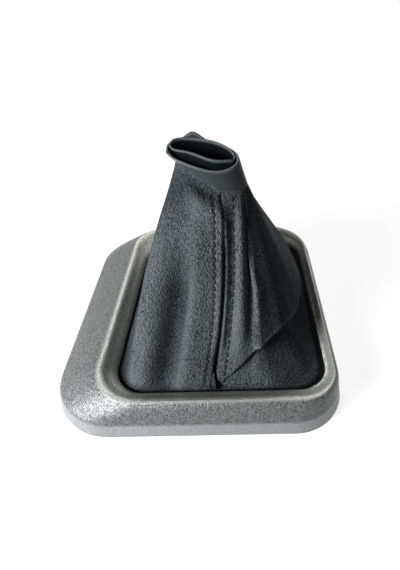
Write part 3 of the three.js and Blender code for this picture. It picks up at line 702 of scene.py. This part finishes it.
def left_relief(place, height, seam):
    """Folds and dips of the left panel."""
    swell = SEAM_SWELL["out"] * between(height, *SEAM_SWELL["heights"])
    relief = seam_groove(height, seam) + swell * bell(seam, 0, SEAM_SWELL["left"])
    relief += LEFT_ROW_DIP["out"] * bell(seam, LEFT_ROW, LEFT_ROW_DIP["width"])
    relief += dents(LEFT_DENTS, place, height)
    strength = between(height, *VALLEY["heights"]) * (1 - height / 2)
    relief += strength * folds_along(VALLEY_FOLDS, place, VALLEY["place"] - VALLEY["slant"] * height)
    return relief + SIDE_DIP["out"] * between(height, *SIDE_DIP["heights"]) * bell(place, *SIDE_DIP["place"])


def fold_edge_place(height):
    """Where the long fold edge of the right panel runs."""
    line = FOLD_EDGE["farthest"] - (height - FOLD_EDGE["start"]) * FOLD_EDGE["slant"]
    return np.clip(line, FOLD_EDGE["nearest"], FOLD_EDGE["farthest"])


def right_relief(place, height, seam):
    """The band that falls away from the slit, the rib and the dips beside it, and the stitch puckers."""
    middle = between(height, *SEAM_SWELL["heights"])
    beside_seam = SEAM_SWELL["out"] * bell(seam, 0, SEAM_SWELL["right"])
    beside_seam += RIGHT_ROW_DIP["out"] * bell(seam, RIGHT_ROW, RIGHT_ROW_DIP["width"])
    beside_seam += PUCKER["out"] * bell(seam, RIGHT_ROW, PUCKER["width"]) * np.sin(height * PUCKER["turns"])
    relief = seam_groove(height, seam) + middle * (beside_seam + RIB["out"] * bell(place, *RIB["place"]))
    upper = between(height, *FOLD_EDGE["heights"])
    relief += upper * folds_along(FOLD_EDGE_FOLDS, place, fold_edge_place(height))
    facet = between(height, *FACET["heights"]) * ramp(place - FACET["start"], FACET["ramp"])
    return relief + FACET["out"] * facet


def left_polish(place, height):
    """Painted highlight on the ridge of the left panel, and painted shade in its hollows and on its side."""
    ridge = RIDGE_RUB["share"] * between(height, *RIDGE_RUB["heights"]) * bell(place, *RIDGE_RUB["place"])
    side = LEFT_SIDE["share"] * ramp(place - LEFT_SIDE["start"], LEFT_SIDE["ramp"])
    return ridge + dents(LEFT_SHADES, place, height) - side


def right_polish(place, height):
    """Painted highlight on the fold edge and on the edge of the crease, and painted shade on the side and
    below the crease.
    """
    crest = np.interp(place, range(len(RIGHT_FOLDS)), [line["crease"] for line in RIGHT_FOLDS])
    edge = fold_edge_place(height)
    fold_edge = between(height, *EDGE_RUB["heights"]) * bell(place, edge, EDGE_RUB["width"])
    shade = np.where(height < crest, RIGHT_SIDE["below_crease"], RIGHT_SIDE["share"])
    side = shade * ramp(place - edge - RIGHT_SIDE["beside"], RIGHT_SIDE["ramp"])
    along = ramp(place - CREASE_RUB["start"], 3) * ramp(CREASE_RUB["end"] - place, 0.5)
    crease = along * bell(height, crest + CREASE_RUB["above"], CREASE_RUB["width"])
    return EDGE_RUB["share"] * fold_edge - side + CREASE_RUB["share"] * crease


def level(flat, z):
    return np.column_stack([flat, np.full(len(flat), z)])[None]


def make_panel(name, node, folds, anticlockwise, relief, polish, leather):
    """A closed sheet from the clamped hem to the neck. Returns its wall, normals and seam distances."""
    states, places = panel_states(folds)
    wall = cloth_points(states)
    height = states[..., 2]
    seam = seam_distance(wall)
    offset = relief(places[None, :], height, seam) * (1 - bell(height, 1, RELIEF_END))
    wall = wall + grid_normals(wall, anticlockwise) * offset[..., None]
    foot = wall[0].copy()
    wall += (cloth_points(states[:1])[0] - foot)[None] * bell(height, 0, RELIEF_END)[..., None]
    normals = grid_normals(wall, anticlockwise)
    inner_wall = wall - normals * CLOTH
    inner_wall[0, :, 2] = HEM_BOTTOM
    flange = hem_edge_at(states[0, :, 0])
    halfway = (wall[0, :, :2] + flange) / 2
    outer = np.concatenate([level(flange, HEM_TOP), level(halfway, HEM_TOP), wall])
    inner = np.concatenate([level(flange, HEM_BOTTOM), level(halfway, HEM_BOTTOM), inner_wall])
    for grid in (outer, inner):
        for end, neighbour in ((0, 1), (-1, -2)):
            gap = np.where(np.arange(len(grid)) < CLOSED_ROWS, CLOSED_SHARE, 1)[:, None] * SEAM_GAP
            grid[:, end] += unit(grid[:, neighbour] - grid[:, end]) * gap / 2
    piece = new_object(name, *thick_sheet(outer, inner), sharp=75)
    # Painted light and shade: paler where the relief stands out, darker in its hollows, plus each panel's
    # painted highlights and painted shade.
    rubbed = np.clip(RUB_MIDDLE + offset / RUB_SPAN + polish(places[None, :], height), 0, 1)
    rubbed = np.concatenate([np.full((2, rubbed.shape[1]), RUB_MIDDLE), rubbed]).ravel()
    mark_points(piece, "rubbed", np.concatenate([rubbed, rubbed]))
    # Painted shade: the hem's flange and the foot of the wall are painted near black, as the shadow in the
    # gap under the ledge.
    hem = np.concatenate([np.ones((2, height.shape[1])), bell(height, 0, HEM_SHADE)]).ravel()
    mark_points(piece, "hem", np.concatenate([hem, hem]))
    piece.data.materials.append(leather)
    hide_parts(node)
    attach(piece, "root")
    support = ["surround_shell", "retaining_ring"]
    return wall, normals, seam


# Collar and sleeve


def mouth_points(shape, angle):
    behind = np.maximum(0, np.sin(np.radians(angle)))
    corner = np.maximum(0, np.cos(np.radians(angle - REAR_CORNER))) ** 4
    z = shape["z"] - shape["lean"] * np.cos(np.radians(angle)) + shape["back_rise"] * behind
    z += shape["corner_rise"] * corner
    return np.concatenate([ellipse_at(shape, angle), z[..., None]], -1)


def lip_points(angle):
    points = mouth_points(MOUTH, angle)
    peak = np.exp(-(((angle - PEAK["angle"]) / PEAK["spread"]) ** 2))
    dip = np.maximum(0, np.cos(np.radians(angle - LIP_DIP["angle"]))) ** 3
    points[..., 2] += PEAK["height"] * peak - LIP_DIP["depth"] * dip
    return points


def inset_loop(loop, distance):
    along = np.roll(loop, -1, 0) - np.roll(loop, 1, 0)
    inward = unit(np.column_stack([-along[:, 1], along[:, 0], np.zeros(len(loop))]))
    return loop + inward * distance


def walled_tube(name, loops, wall, material):
    """A tube of the given loops with a rounded upper edge, which is marked for a painted highlight in the
    material.
    """
    top = loops[-1]
    arc = np.radians(np.linspace(0, 180, EDGE_STEPS + 1)[1:-1])
    rim = []
    for a in arc:
        loop = inset_loop(top, wall / 2 * (1 - math.cos(a)))
        loop[:, 2] += wall / 2 * math.sin(a)
        rim.append(loop)
    inside = [inset_loop(loop, wall) for loop in loops][::-1]
    piece = new_object(name, *closed_loft([*loops, *rim, *inside]), sharp=60)
    edge = [0] * (len(loops) - 1) + [1] * (len(rim) + 2) + [0] * (len(inside) - 1)
    mark_points(piece, "edge", np.repeat(edge, len(top)))
    piece.data.materials.append(material)
    return piece


NECK_ANGLES = np.linspace(-180, 180, NECK_STEPS, endpoint=False)


def make_collar(skin):
    low = neck_point(NECK_ANGLES) - (0, 0, COLLAR_LAP)
    high = lip_points(NECK_ANGLES)
    high[:, 2] -= COLLAR_WALL / 2
    high[:, 0] += COLLAR_LEFT * np.minimum(0, np.cos(np.radians(NECK_ANGLES)))
    corner = bell(NECK_ANGLES, COLLAR_FLAP["angle"], COLLAR_FLAP["spread"])
    high -= corner[:, None] * (COLLAR_FLAP["out"], 0, COLLAR_FLAP["drop"])
    loops = [low + (high - low) * share for share in np.linspace(0, 1, COLLAR_ROWS)]
    collar = walled_tube("collar_band", loops, COLLAR_WALL, skin)
    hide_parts("neck_collar")
    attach(collar, "root")


def sleeve_edge(angle):
    """The lining's upper edge: against the collar at the rear, loose and wavy at the front."""
    points = mouth_points(SLEEVE_MOUTH, angle)
    behind = np.maximum(0, np.sin(np.radians(angle)))
    loose = bell(angle, SLEEVE_WAVE["angle"], SLEEVE_WAVE["spread"])
    front = np.minimum(0, np.sin(np.radians(angle)))
    ripple = SLEEVE_WAVE["ripple"] * front * np.cos(np.radians(angle * SLEEVE_WAVE["waves"]))
    points[:, 0] += SLEEVE_REAR["left"] * np.minimum(0, np.cos(np.radians(angle)))
    points[:, 1] += SLEEVE_REAR["shift"] * behind + SLEEVE_WAVE["inward"] * loose + ripple
    points[:, 2] += SLEEVE_REAR["rise"] * behind + SLEEVE_WAVE["rise"] * loose
    return points


def make_sleeve(lining):
    seam = inset_loop(neck_point(NECK_ANGLES), COLLAR_WALL + SLEEVE_GAP)
    high = sleeve_edge(NECK_ANGLES)
    high[:, 2] -= SLEEVE_WALL / 2
    below = [seam - (0, 0, drop) for drop in np.linspace(SLEEVE_TUCK, 0, TUCK_ROWS)[:-1]]
    loops = [*below, *[seam + (high - seam) * share for share in np.linspace(0, 1, SLEEVE_ROWS)]]
    sleeve = walled_tube("inner_sleeve", loops, SLEEVE_WALL, lining)
    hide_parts("neck_sleeve")
    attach(sleeve, "root")


# Stitching


def make_seam_tape(name, left, right, leather):
    """A narrow tape behind a seam, which joins the two panels and closes the gap between them."""
    rows = [row_line(*left, distance) for distance in TAPE_PLACES[::-1]]
    rows += [row_line(*right, distance) for distance in TAPE_PLACES]
    lines, normals = np.array(rows).transpose(1, 2, 0, 3)
    outer = lines - normals * (CLOTH + TAPE_GAP)
    tape = new_object(name, *thick_sheet(outer, outer - normals * TAPE_THICKNESS), sharp=75)
    tape.data.materials.append(leather)
    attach(tape, "root")


def from_back(wall, normals, seam):
    """The same panel with its distances measured from the back seam."""
    return wall[:, ::-1], normals[:, ::-1], (seam[:, -1:] - seam)[:, ::-1]


def row_line(wall, normals, seam, distance):
    """The line on a panel at a distance from the front seam, with its normals."""
    line, up = [], []
    for points, sides, steps in zip(wall, normals, seam):
        line.append([np.interp(distance, steps, points[:, k]) for k in range(3)])
        up.append([np.interp(distance, steps, sides[:, k]) for k in range(3)])
    return np.array(line), unit(np.array(up))


def make_stitches(name, line, normals, thread):
    """Separate stitches, each a short arch of thread whose ends go down into the cloth."""
    length = np.r_[0, np.cumsum(np.linalg.norm(np.diff(line, axis=0), axis=1))]
    count = int((length[-1] - STITCH_START - 1) / STITCH_PITCH)
    turn = np.linspace(0, 2 * math.pi, THREAD_SIDES, endpoint=False)
    t = np.linspace(0, 1, STITCH_RINGS)
    lift = THREAD_RADIUS * (THREAD_ARCH * np.sin(math.pi * t) - THREAD_SINK)
    radius = THREAD_RADIUS * np.clip(np.sin(math.pi * (t * 0.9 + 0.05)) * 2.2, 0.25, 1)
    points, faces, total = [], [], 0
    for i in range(count):
        at = STITCH_START + i * STITCH_PITCH + STITCH_LENGTH * t
        centre = np.stack([np.interp(at, length, line[:, k]) for k in range(3)], -1)
        normal = unit(np.stack([np.interp(at, length, normals[:, k]) for k in range(3)], -1))
        centre = centre + normal * lift[:, None]
        along = unit(np.gradient(centre, axis=0))
        side = unit(np.cross(along, normal))
        up = np.cross(side, along)
        for k in range(len(t)):
            ring = np.cos(turn)[:, None] * side[k] + np.sin(turn)[:, None] * up[k]
            points.append(centre[k] + ring * radius[k])
        faces += grid_faces(len(t), len(turn), total, closed=True).tolist()
        total += len(turn) * len(t)
        faces.append(list(range(total - len(turn), total)))
        faces.append(list(range(total - len(turn) * (len(t) - 1) - 1, total - len(turn) * len(t) - 1, -1)))
    piece = new_object(name, np.concatenate(points), faces, sharp=80)
    piece.data.materials.append(thread)
    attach(piece, "root")


# Materials


class Nodes:
    """A small helper that adds and links shader nodes."""

    def __init__(self, name):
        self.material = bpy.data.materials.new(name)
        self.material.use_nodes = True
        self.tree = self.material.node_tree
        self.shader = self.tree.nodes["Principled BSDF"]
        self.coordinates = self.add("ShaderNodeTexCoord").outputs["Object"]

    def add(self, kind, **settings):
        node = self.tree.nodes.new(kind)
        for key, value in settings.items():
            setattr(node, key, value)
        return node

    def link(self, source, target):
        self.tree.links.new(source, target)

    def noise(self, size, detail=2.0, roughness=0.5):
        node = self.add("ShaderNodeTexNoise")
        node.inputs["Scale"].default_value = 1 / (size * MM)
        node.inputs["Detail"].default_value = detail
        node.inputs["Roughness"].default_value = roughness
        self.link(self.coordinates, node.inputs["Vector"])
        return node.outputs["Fac"]

    def cells(self, size, feature="F1"):
        node = self.add("ShaderNodeTexVoronoi", feature=feature)
        node.inputs["Scale"].default_value = 1 / (size * MM)
        self.link(self.coordinates, node.inputs["Vector"])
        return node

    def remap(self, value, low, high, to_low, to_high):
        node = self.add("ShaderNodeMapRange")
        self.link(value, node.inputs["Value"])
        for key, number in zip(("From Min", "From Max", "To Min", "To Max"), (low, high, to_low, to_high)):
            node.inputs[key].default_value = number
        return node.outputs["Result"]

    def math(self, operation, first, second):
        node = self.add("ShaderNodeMath", operation=operation)
        for socket, value in zip(node.inputs, (first, second)):
            if isinstance(value, (int, float)):
                socket.default_value = value
            else:
                self.link(value, socket)
        return node.outputs["Value"]

    def mix(self, value, low, high):
        """A colour between two, each of them a socket or three numbers."""
        node = self.add("ShaderNodeMix", data_type="RGBA")
        self.link(value, node.inputs["Factor"])
        for socket, colour in zip([s for s in node.inputs if s.type == "RGBA"], (low, high)):
            if isinstance(colour, tuple):
                socket.default_value = (*colour, 1)
            else:
                self.link(colour, socket)
        return next(s for s in node.outputs if s.type == "RGBA")

    def point_value(self, name):
        return self.add("ShaderNodeAttribute", attribute_name=name).outputs["Fac"]

    def bump(self, height, strength, distance, normal=None):
        node = self.add("ShaderNodeBump")
        node.inputs["Strength"].default_value = strength
        node.inputs["Distance"].default_value = distance * MM
        self.link(height, node.inputs["Height"])
        if normal:
            self.link(normal, node.inputs["Normal"])
        return node.outputs["Normal"]

    def feed(self, **sockets):
        """Links sockets to the shader's inputs of those names."""
        for key, socket in sockets.items():
            self.link(socket, self.shader.inputs[key.replace("_", " ")])

    def constant(self, **values):
        """Sets the shader's inputs of those names."""
        for key, value in values.items():
            self.shader.inputs[key.replace("_", " ")].default_value = value


def surround_paint():
    """Silver metallic paint over a fine moulded texture, smoother on the lower band, with painted light: a
    painted reflection that makes the band paler, a paler and warmer inner slope, and painted highlights on
    the crest and along the opening's edge.
    """
    n = Nodes("surround_paint")
    height = n.add("ShaderNodeSeparateXYZ")
    n.link(n.coordinates, height.inputs["Vector"])
    textured = n.remap(height.outputs["Z"], (BAND_HEIGHT - 1) * MM, (BAND_HEIGHT + 0.8) * MM, 0, 1)
    sparkle = n.cells(0.55).outputs["Color"]
    # Painted reflection: the lower band is painted paler than the textured flank.
    low = n.mix(textured, (0.22, 0.23, 0.235), (0.034, 0.036, 0.037))
    high = n.mix(textured, (0.345, 0.355, 0.365), (0.235, 0.243, 0.243))
    # Painted light: the inner slope is painted paler and warmer.
    warm = n.mix(sparkle, (0.2, 0.205, 0.187), (0.5, 0.505, 0.472))
    plain = n.mix(n.point_value("slope"), n.mix(sparkle, low, high), warm)
    # Painted highlight on the crest and at the opening's edge.
    worn = n.mix(n.point_value("wear"), plain, (0.48, 0.49, 0.485))
    # Painted highlight: a dotted pale line along the right of the opening's edge.
    chips = n.math("MULTIPLY", n.point_value("bare"), n.remap(n.noise(1.8, 2), 0.4, 0.5, 0, 1))
    n.feed(Base_Color=n.mix(chips, worn, (0.85, 0.86, 0.86)))
    grain = n.math("MULTIPLY", n.noise(0.9, 3, 0.6), n.remap(textured, 0, 1, 0.4, 1))
    n.feed(Normal=n.bump(grain, 0.9, 0.35))
    n.feed(Roughness=n.remap(n.noise(2.5), 0.3, 0.7, 0.34, 0.46))
    n.constant(Metallic=0.5, Specular_IOR_Level=0.12)
    return n.material


def leatherette():
    """Pebble-grained, semi-matt black leatherette, with painted light and shade: paler where it stands out
    and on lit edges, darker in hollows, on shaded sides and at the hem.
    """
    n = Nodes("leatherette")
    cells = n.cells(0.95, "SMOOTH_F1")
    cells.inputs["Smoothness"].default_value = 0.4
    pebbles = n.remap(cells.outputs["Distance"], 0.15, 0.7, 1, 0)
    creases = n.remap(n.noise(1.5, 3, 0.65), 0.4, 0.52, 0, 1)
    patches = n.remap(n.noise(16, 2), 0.38, 0.62, 0.35, 1)
    grain = n.math("ADD", pebbles, n.math("MULTIPLY", n.noise(0.45, 3, 0.6), 0.8))
    grain = n.math("ADD", grain, n.math("MULTIPLY", n.math("MULTIPLY", creases, patches), 0.9))
    n.feed(Normal=n.bump(grain, 1, 0.34))
    # Painted light and shade: pits and pebble tops are paler where the cloth is painted lit and darker where
    # it is painted shaded.
    rubbed = n.point_value("rubbed")
    pits = n.mix(rubbed, (0.022, 0.026, 0.029), (0.084, 0.096, 0.102))
    tops = n.mix(rubbed, (0.060, 0.070, 0.076), (0.165, 0.182, 0.190))
    where = n.remap(n.noise(24, 2), 0.42, 0.6, 0, 0.8)
    specks = n.math("MULTIPLY", n.remap(n.noise(1.3, 2), 0.36, 0.46, 1, 0), where)
    surface = n.mix(specks, n.mix(pebbles, pits, tops), (0.010, 0.012, 0.013))
    # Painted shade: near black at the hem, under the ledge.
    n.feed(Base_Color=n.mix(n.point_value("hem"), surface, (0.004, 0.005, 0.005)))
    broad = n.remap(n.noise(14, 2), 0.3, 0.7, -0.04, 0.04)
    n.feed(Roughness=n.math("ADD", n.remap(pebbles, 0, 1, 0.75, 0.55), broad))
    n.constant(Specular_IOR_Level=0.03)
    return n.material


def collar_skin():
    n = Nodes("collar_skin")
    n.feed(Normal=n.bump(n.noise(0.6, 3), 0.35, 0.12, n.bump(n.noise(5, 2), 0.4, 0.5)))
    skin = n.mix(n.noise(9), (0.022, 0.027, 0.030), (0.033, 0.039, 0.042))
    # Painted highlight: the rounded upper edge of the collar is painted paler.
    n.feed(Base_Color=n.mix(n.point_value("edge"), skin, (0.095, 0.106, 0.111)))
    n.feed(Roughness=n.remap(n.noise(3), 0.3, 0.7, 0.45, 0.58))
    n.constant(Specular_IOR_Level=0.15)
    return n.material


def sleeve_lining():
    n = Nodes("sleeve_lining")
    n.feed(Normal=n.bump(n.noise(0.7, 4), 0.5, 0.2))
    lining = n.mix(n.noise(1.5), (0.002, 0.003, 0.004), (0.007, 0.009, 0.011))
    # Painted highlight: the upper edge of the lining is painted paler.
    n.feed(Base_Color=n.mix(n.point_value("edge"), lining, (0.10, 0.114, 0.12)))
    n.constant(Roughness=0.9, Specular_IOR_Level=0.05)
    return n.material


def thread_black():
    n = Nodes("thread_black")
    n.feed(Normal=n.bump(n.noise(0.2, 2), 0.6, 0.08))
    n.feed(Base_Color=n.mix(n.noise(0.8), (0.002, 0.0025, 0.003), (0.008, 0.009, 0.010)))
    n.constant(Roughness=0.55, Specular_IOR_Level=0.3)
    return n.material


def black_plastic():
    n = Nodes("black_plastic")
    n.feed(Normal=n.bump(n.noise(0.5, 3), 0.35, 0.15))
    n.feed(Base_Color=n.mix(n.noise(12), (0.017, 0.017, 0.018), (0.026, 0.026, 0.027)))
    n.feed(Roughness=n.remap(n.noise(4), 0.3, 0.7, 0.42, 0.58))
    return n.material


def screw_steel():
    n = Nodes("screw_steel")
    n.feed(Normal=n.bump(n.noise(0.3, 3), 0.25, 0.05))
    n.feed(Base_Color=n.mix(n.noise(1.2), (0.48, 0.48, 0.46), (0.62, 0.62, 0.60)))
    n.feed(Roughness=n.remap(n.noise(0.8), 0.3, 0.7, 0.24, 0.4))
    n.constant(Metallic=1.0)
    return n.material


def dress_node(node, material, smooth_angle):
    """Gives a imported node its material, and smooth shading between its shallow facets."""
    for slot in node.material_slots:
        slot.link = "OBJECT"
        slot.material = material
    node.data.shade_smooth()
    node.data.set_sharp_from_angle(angle=math.radians(smooth_angle))


# Stage

AMBIENT = 0.03
KEY_LAMP = dict(place=(-284, -238, 190), size=170, power=3.2)
BACK_LAMP = dict(place=(0, 613, 554), size=300, power=3)
LAMP_TARGET = (0, 0, 40)
FLOOR_TONE = 0.4
FLOOR_GLOW = 0.8
FLOOR_NEAR = 150
FLOOR_FAR = 600
FLOOR_HALF = 3000


def background_factor(tree):
    """1 for camera, glossy and transmission rays, else 0."""
    paths = tree.nodes.new("ShaderNodeLightPath")
    total = paths.outputs["Is Camera Ray"]
    for name in ("Is Glossy Ray", "Is Transmission Ray"):
        add = tree.nodes.new("ShaderNodeMath")
        add.operation = "MAXIMUM"
        tree.links.new(total, add.inputs[0])
        tree.links.new(paths.outputs[name], add.inputs[1])
        total = add.outputs["Value"]
    return total


def make_world(ambient):
    world = bpy.data.worlds.new("studio")
    world.use_nodes = True
    bpy.context.scene.world = world
    tree = world.node_tree
    background = tree.nodes["Background"]
    background.inputs["Color"].default_value = (ambient, ambient, ambient, 1)
    white = tree.nodes.new("ShaderNodeBackground")
    white.inputs["Color"].default_value = (1, 1, 1, 1)
    mix = tree.nodes.new("ShaderNodeMixShader")
    tree.links.new(background_factor(tree), mix.inputs["Fac"])
    tree.links.new(background.outputs["Background"], mix.inputs[1])
    tree.links.new(white.outputs["Background"], mix.inputs[2])
    tree.links.new(mix.outputs["Shader"], tree.nodes["World Output"].inputs["Surface"])


def make_floor():
    """A floor that shows white, keeps the object's shadow and throws little light back."""
    half = FLOOR_HALF
    corners = [(-half, -half, 0), (half, -half, 0), (half, half, 0), (-half, half, 0)]
    floor = new_object("floor", corners, [(0, 1, 2, 3)])
    n = Nodes("floor_white")
    distance = n.add("ShaderNodeVectorMath", operation="LENGTH")
    n.link(n.coordinates, distance.inputs[0])
    white = n.remap(distance.outputs["Value"], FLOOR_NEAR * MM, FLOOR_FAR * MM, FLOOR_GLOW, 1)
    n.feed(Emission_Strength=n.math("MULTIPLY", white, background_factor(n.tree)))
    n.constant(Base_Color=(FLOOR_TONE, FLOOR_TONE, FLOOR_TONE, 1), Emission_Color=(1, 1, 1, 1))
    n.constant(Roughness=1, Specular_IOR_Level=0)
    floor.data.materials.append(n.material)
    floor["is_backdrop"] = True


def area_lamp(name, place, size, power):
    """A square lamp that points at the middle of the object."""
    data = bpy.data.lights.new(name, "AREA")
    data.shape = "SQUARE"
    data.size = size * MM
    data.energy = power
    lamp = bpy.data.objects.new(name, data)
    lamp.location = Vector(place) * MM
    aim = (Vector(LAMP_TARGET) - Vector(place)).normalized()
    lamp.rotation_mode = "QUATERNION"
    lamp.rotation_quaternion = aim.to_track_quat("-Z", "Y")
    bpy.context.scene.collection.objects.link(lamp)


def make_camera():
    pitch, yaw, roll = (math.radians(a) for a in (CAMERA_PITCH, CAMERA_YAW, CAMERA_ROLL))
    forward = Vector((-math.sin(yaw), math.cos(yaw), 0))
    right = Vector((math.cos(yaw), math.sin(yaw), 0))
    up = Vector((0, 0, 1))
    look = forward * math.cos(pitch) - up * math.sin(pitch)
    down = -(forward * math.sin(pitch) + up * math.cos(pitch))
    across = right * math.cos(roll) + down * math.sin(roll)
    below = down * math.cos(roll) - right * math.sin(roll)
    data = bpy.data.cameras.new("camera")
    data.sensor_fit = "AUTO"
    data.sensor_width = SENSOR
    data.lens = FOCAL_PIXELS / PHOTO_HEIGHT * SENSOR
    data.shift_x = (PHOTO_WIDTH / 2 - PRINCIPAL_X) / PHOTO_HEIGHT
    data.clip_start, data.clip_end = 0.01, 20
    camera = bpy.data.objects.new("camera", data)
    turn = Matrix([across, -below, -look]).transposed().to_4x4()
    camera.matrix_world = Matrix.Translation(Vector(CAMERA_PLACE) * MM) @ turn
    bpy.context.scene.collection.objects.link(camera)
    bpy.context.scene.camera = camera


def main():
    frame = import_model()
    cad_box = [list(corner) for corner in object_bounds()]
    nodes = frame["nodes"]

    paint = surround_paint()
    leather = leatherette()
    thread = thread_black()
    shell = make_surround(paint)
    screws = sorted(name for name in nodes if name.startswith("screw_"))
    centres = [(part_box(name)[0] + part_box(name)[1]) / 2 / MM for name in screws]
    make_bosses(paint, shell, [(c.x, c.y) for c in centres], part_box("retaining_ring"))

    left = make_panel("gaiter_left", "left_panel", LEFT_FOLDS, -1, left_relief, left_polish, leather)
    right = make_panel("gaiter_right", "right_panel", RIGHT_FOLDS, 1, right_relief, right_polish, leather)
    make_seam_tape("front_seam_tape", left, right, leather)
    make_seam_tape("back_seam_tape", from_back(*left), from_back(*right), leather)
    make_stitches("stitches_left", *row_line(*left, LEFT_ROW), thread)
    make_stitches("stitches_right", *row_line(*right, RIGHT_ROW), thread)
    make_collar(collar_skin())
    make_sleeve(sleeve_lining())

    dress_node(nodes["retaining_ring"], black_plastic(), smooth_angle=30)
    steel = screw_steel()
    for name in screws:
        dress_node(nodes[name], steel, smooth_angle=35)

    make_world(AMBIENT)
    make_floor()
    area_lamp("key", **KEY_LAMP)
    area_lamp("back", **BACK_LAMP)
    make_camera()
    bpy.context.scene.view_settings.view_transform = "Standard"

    visual_box = [list(corner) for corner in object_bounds()]


main()
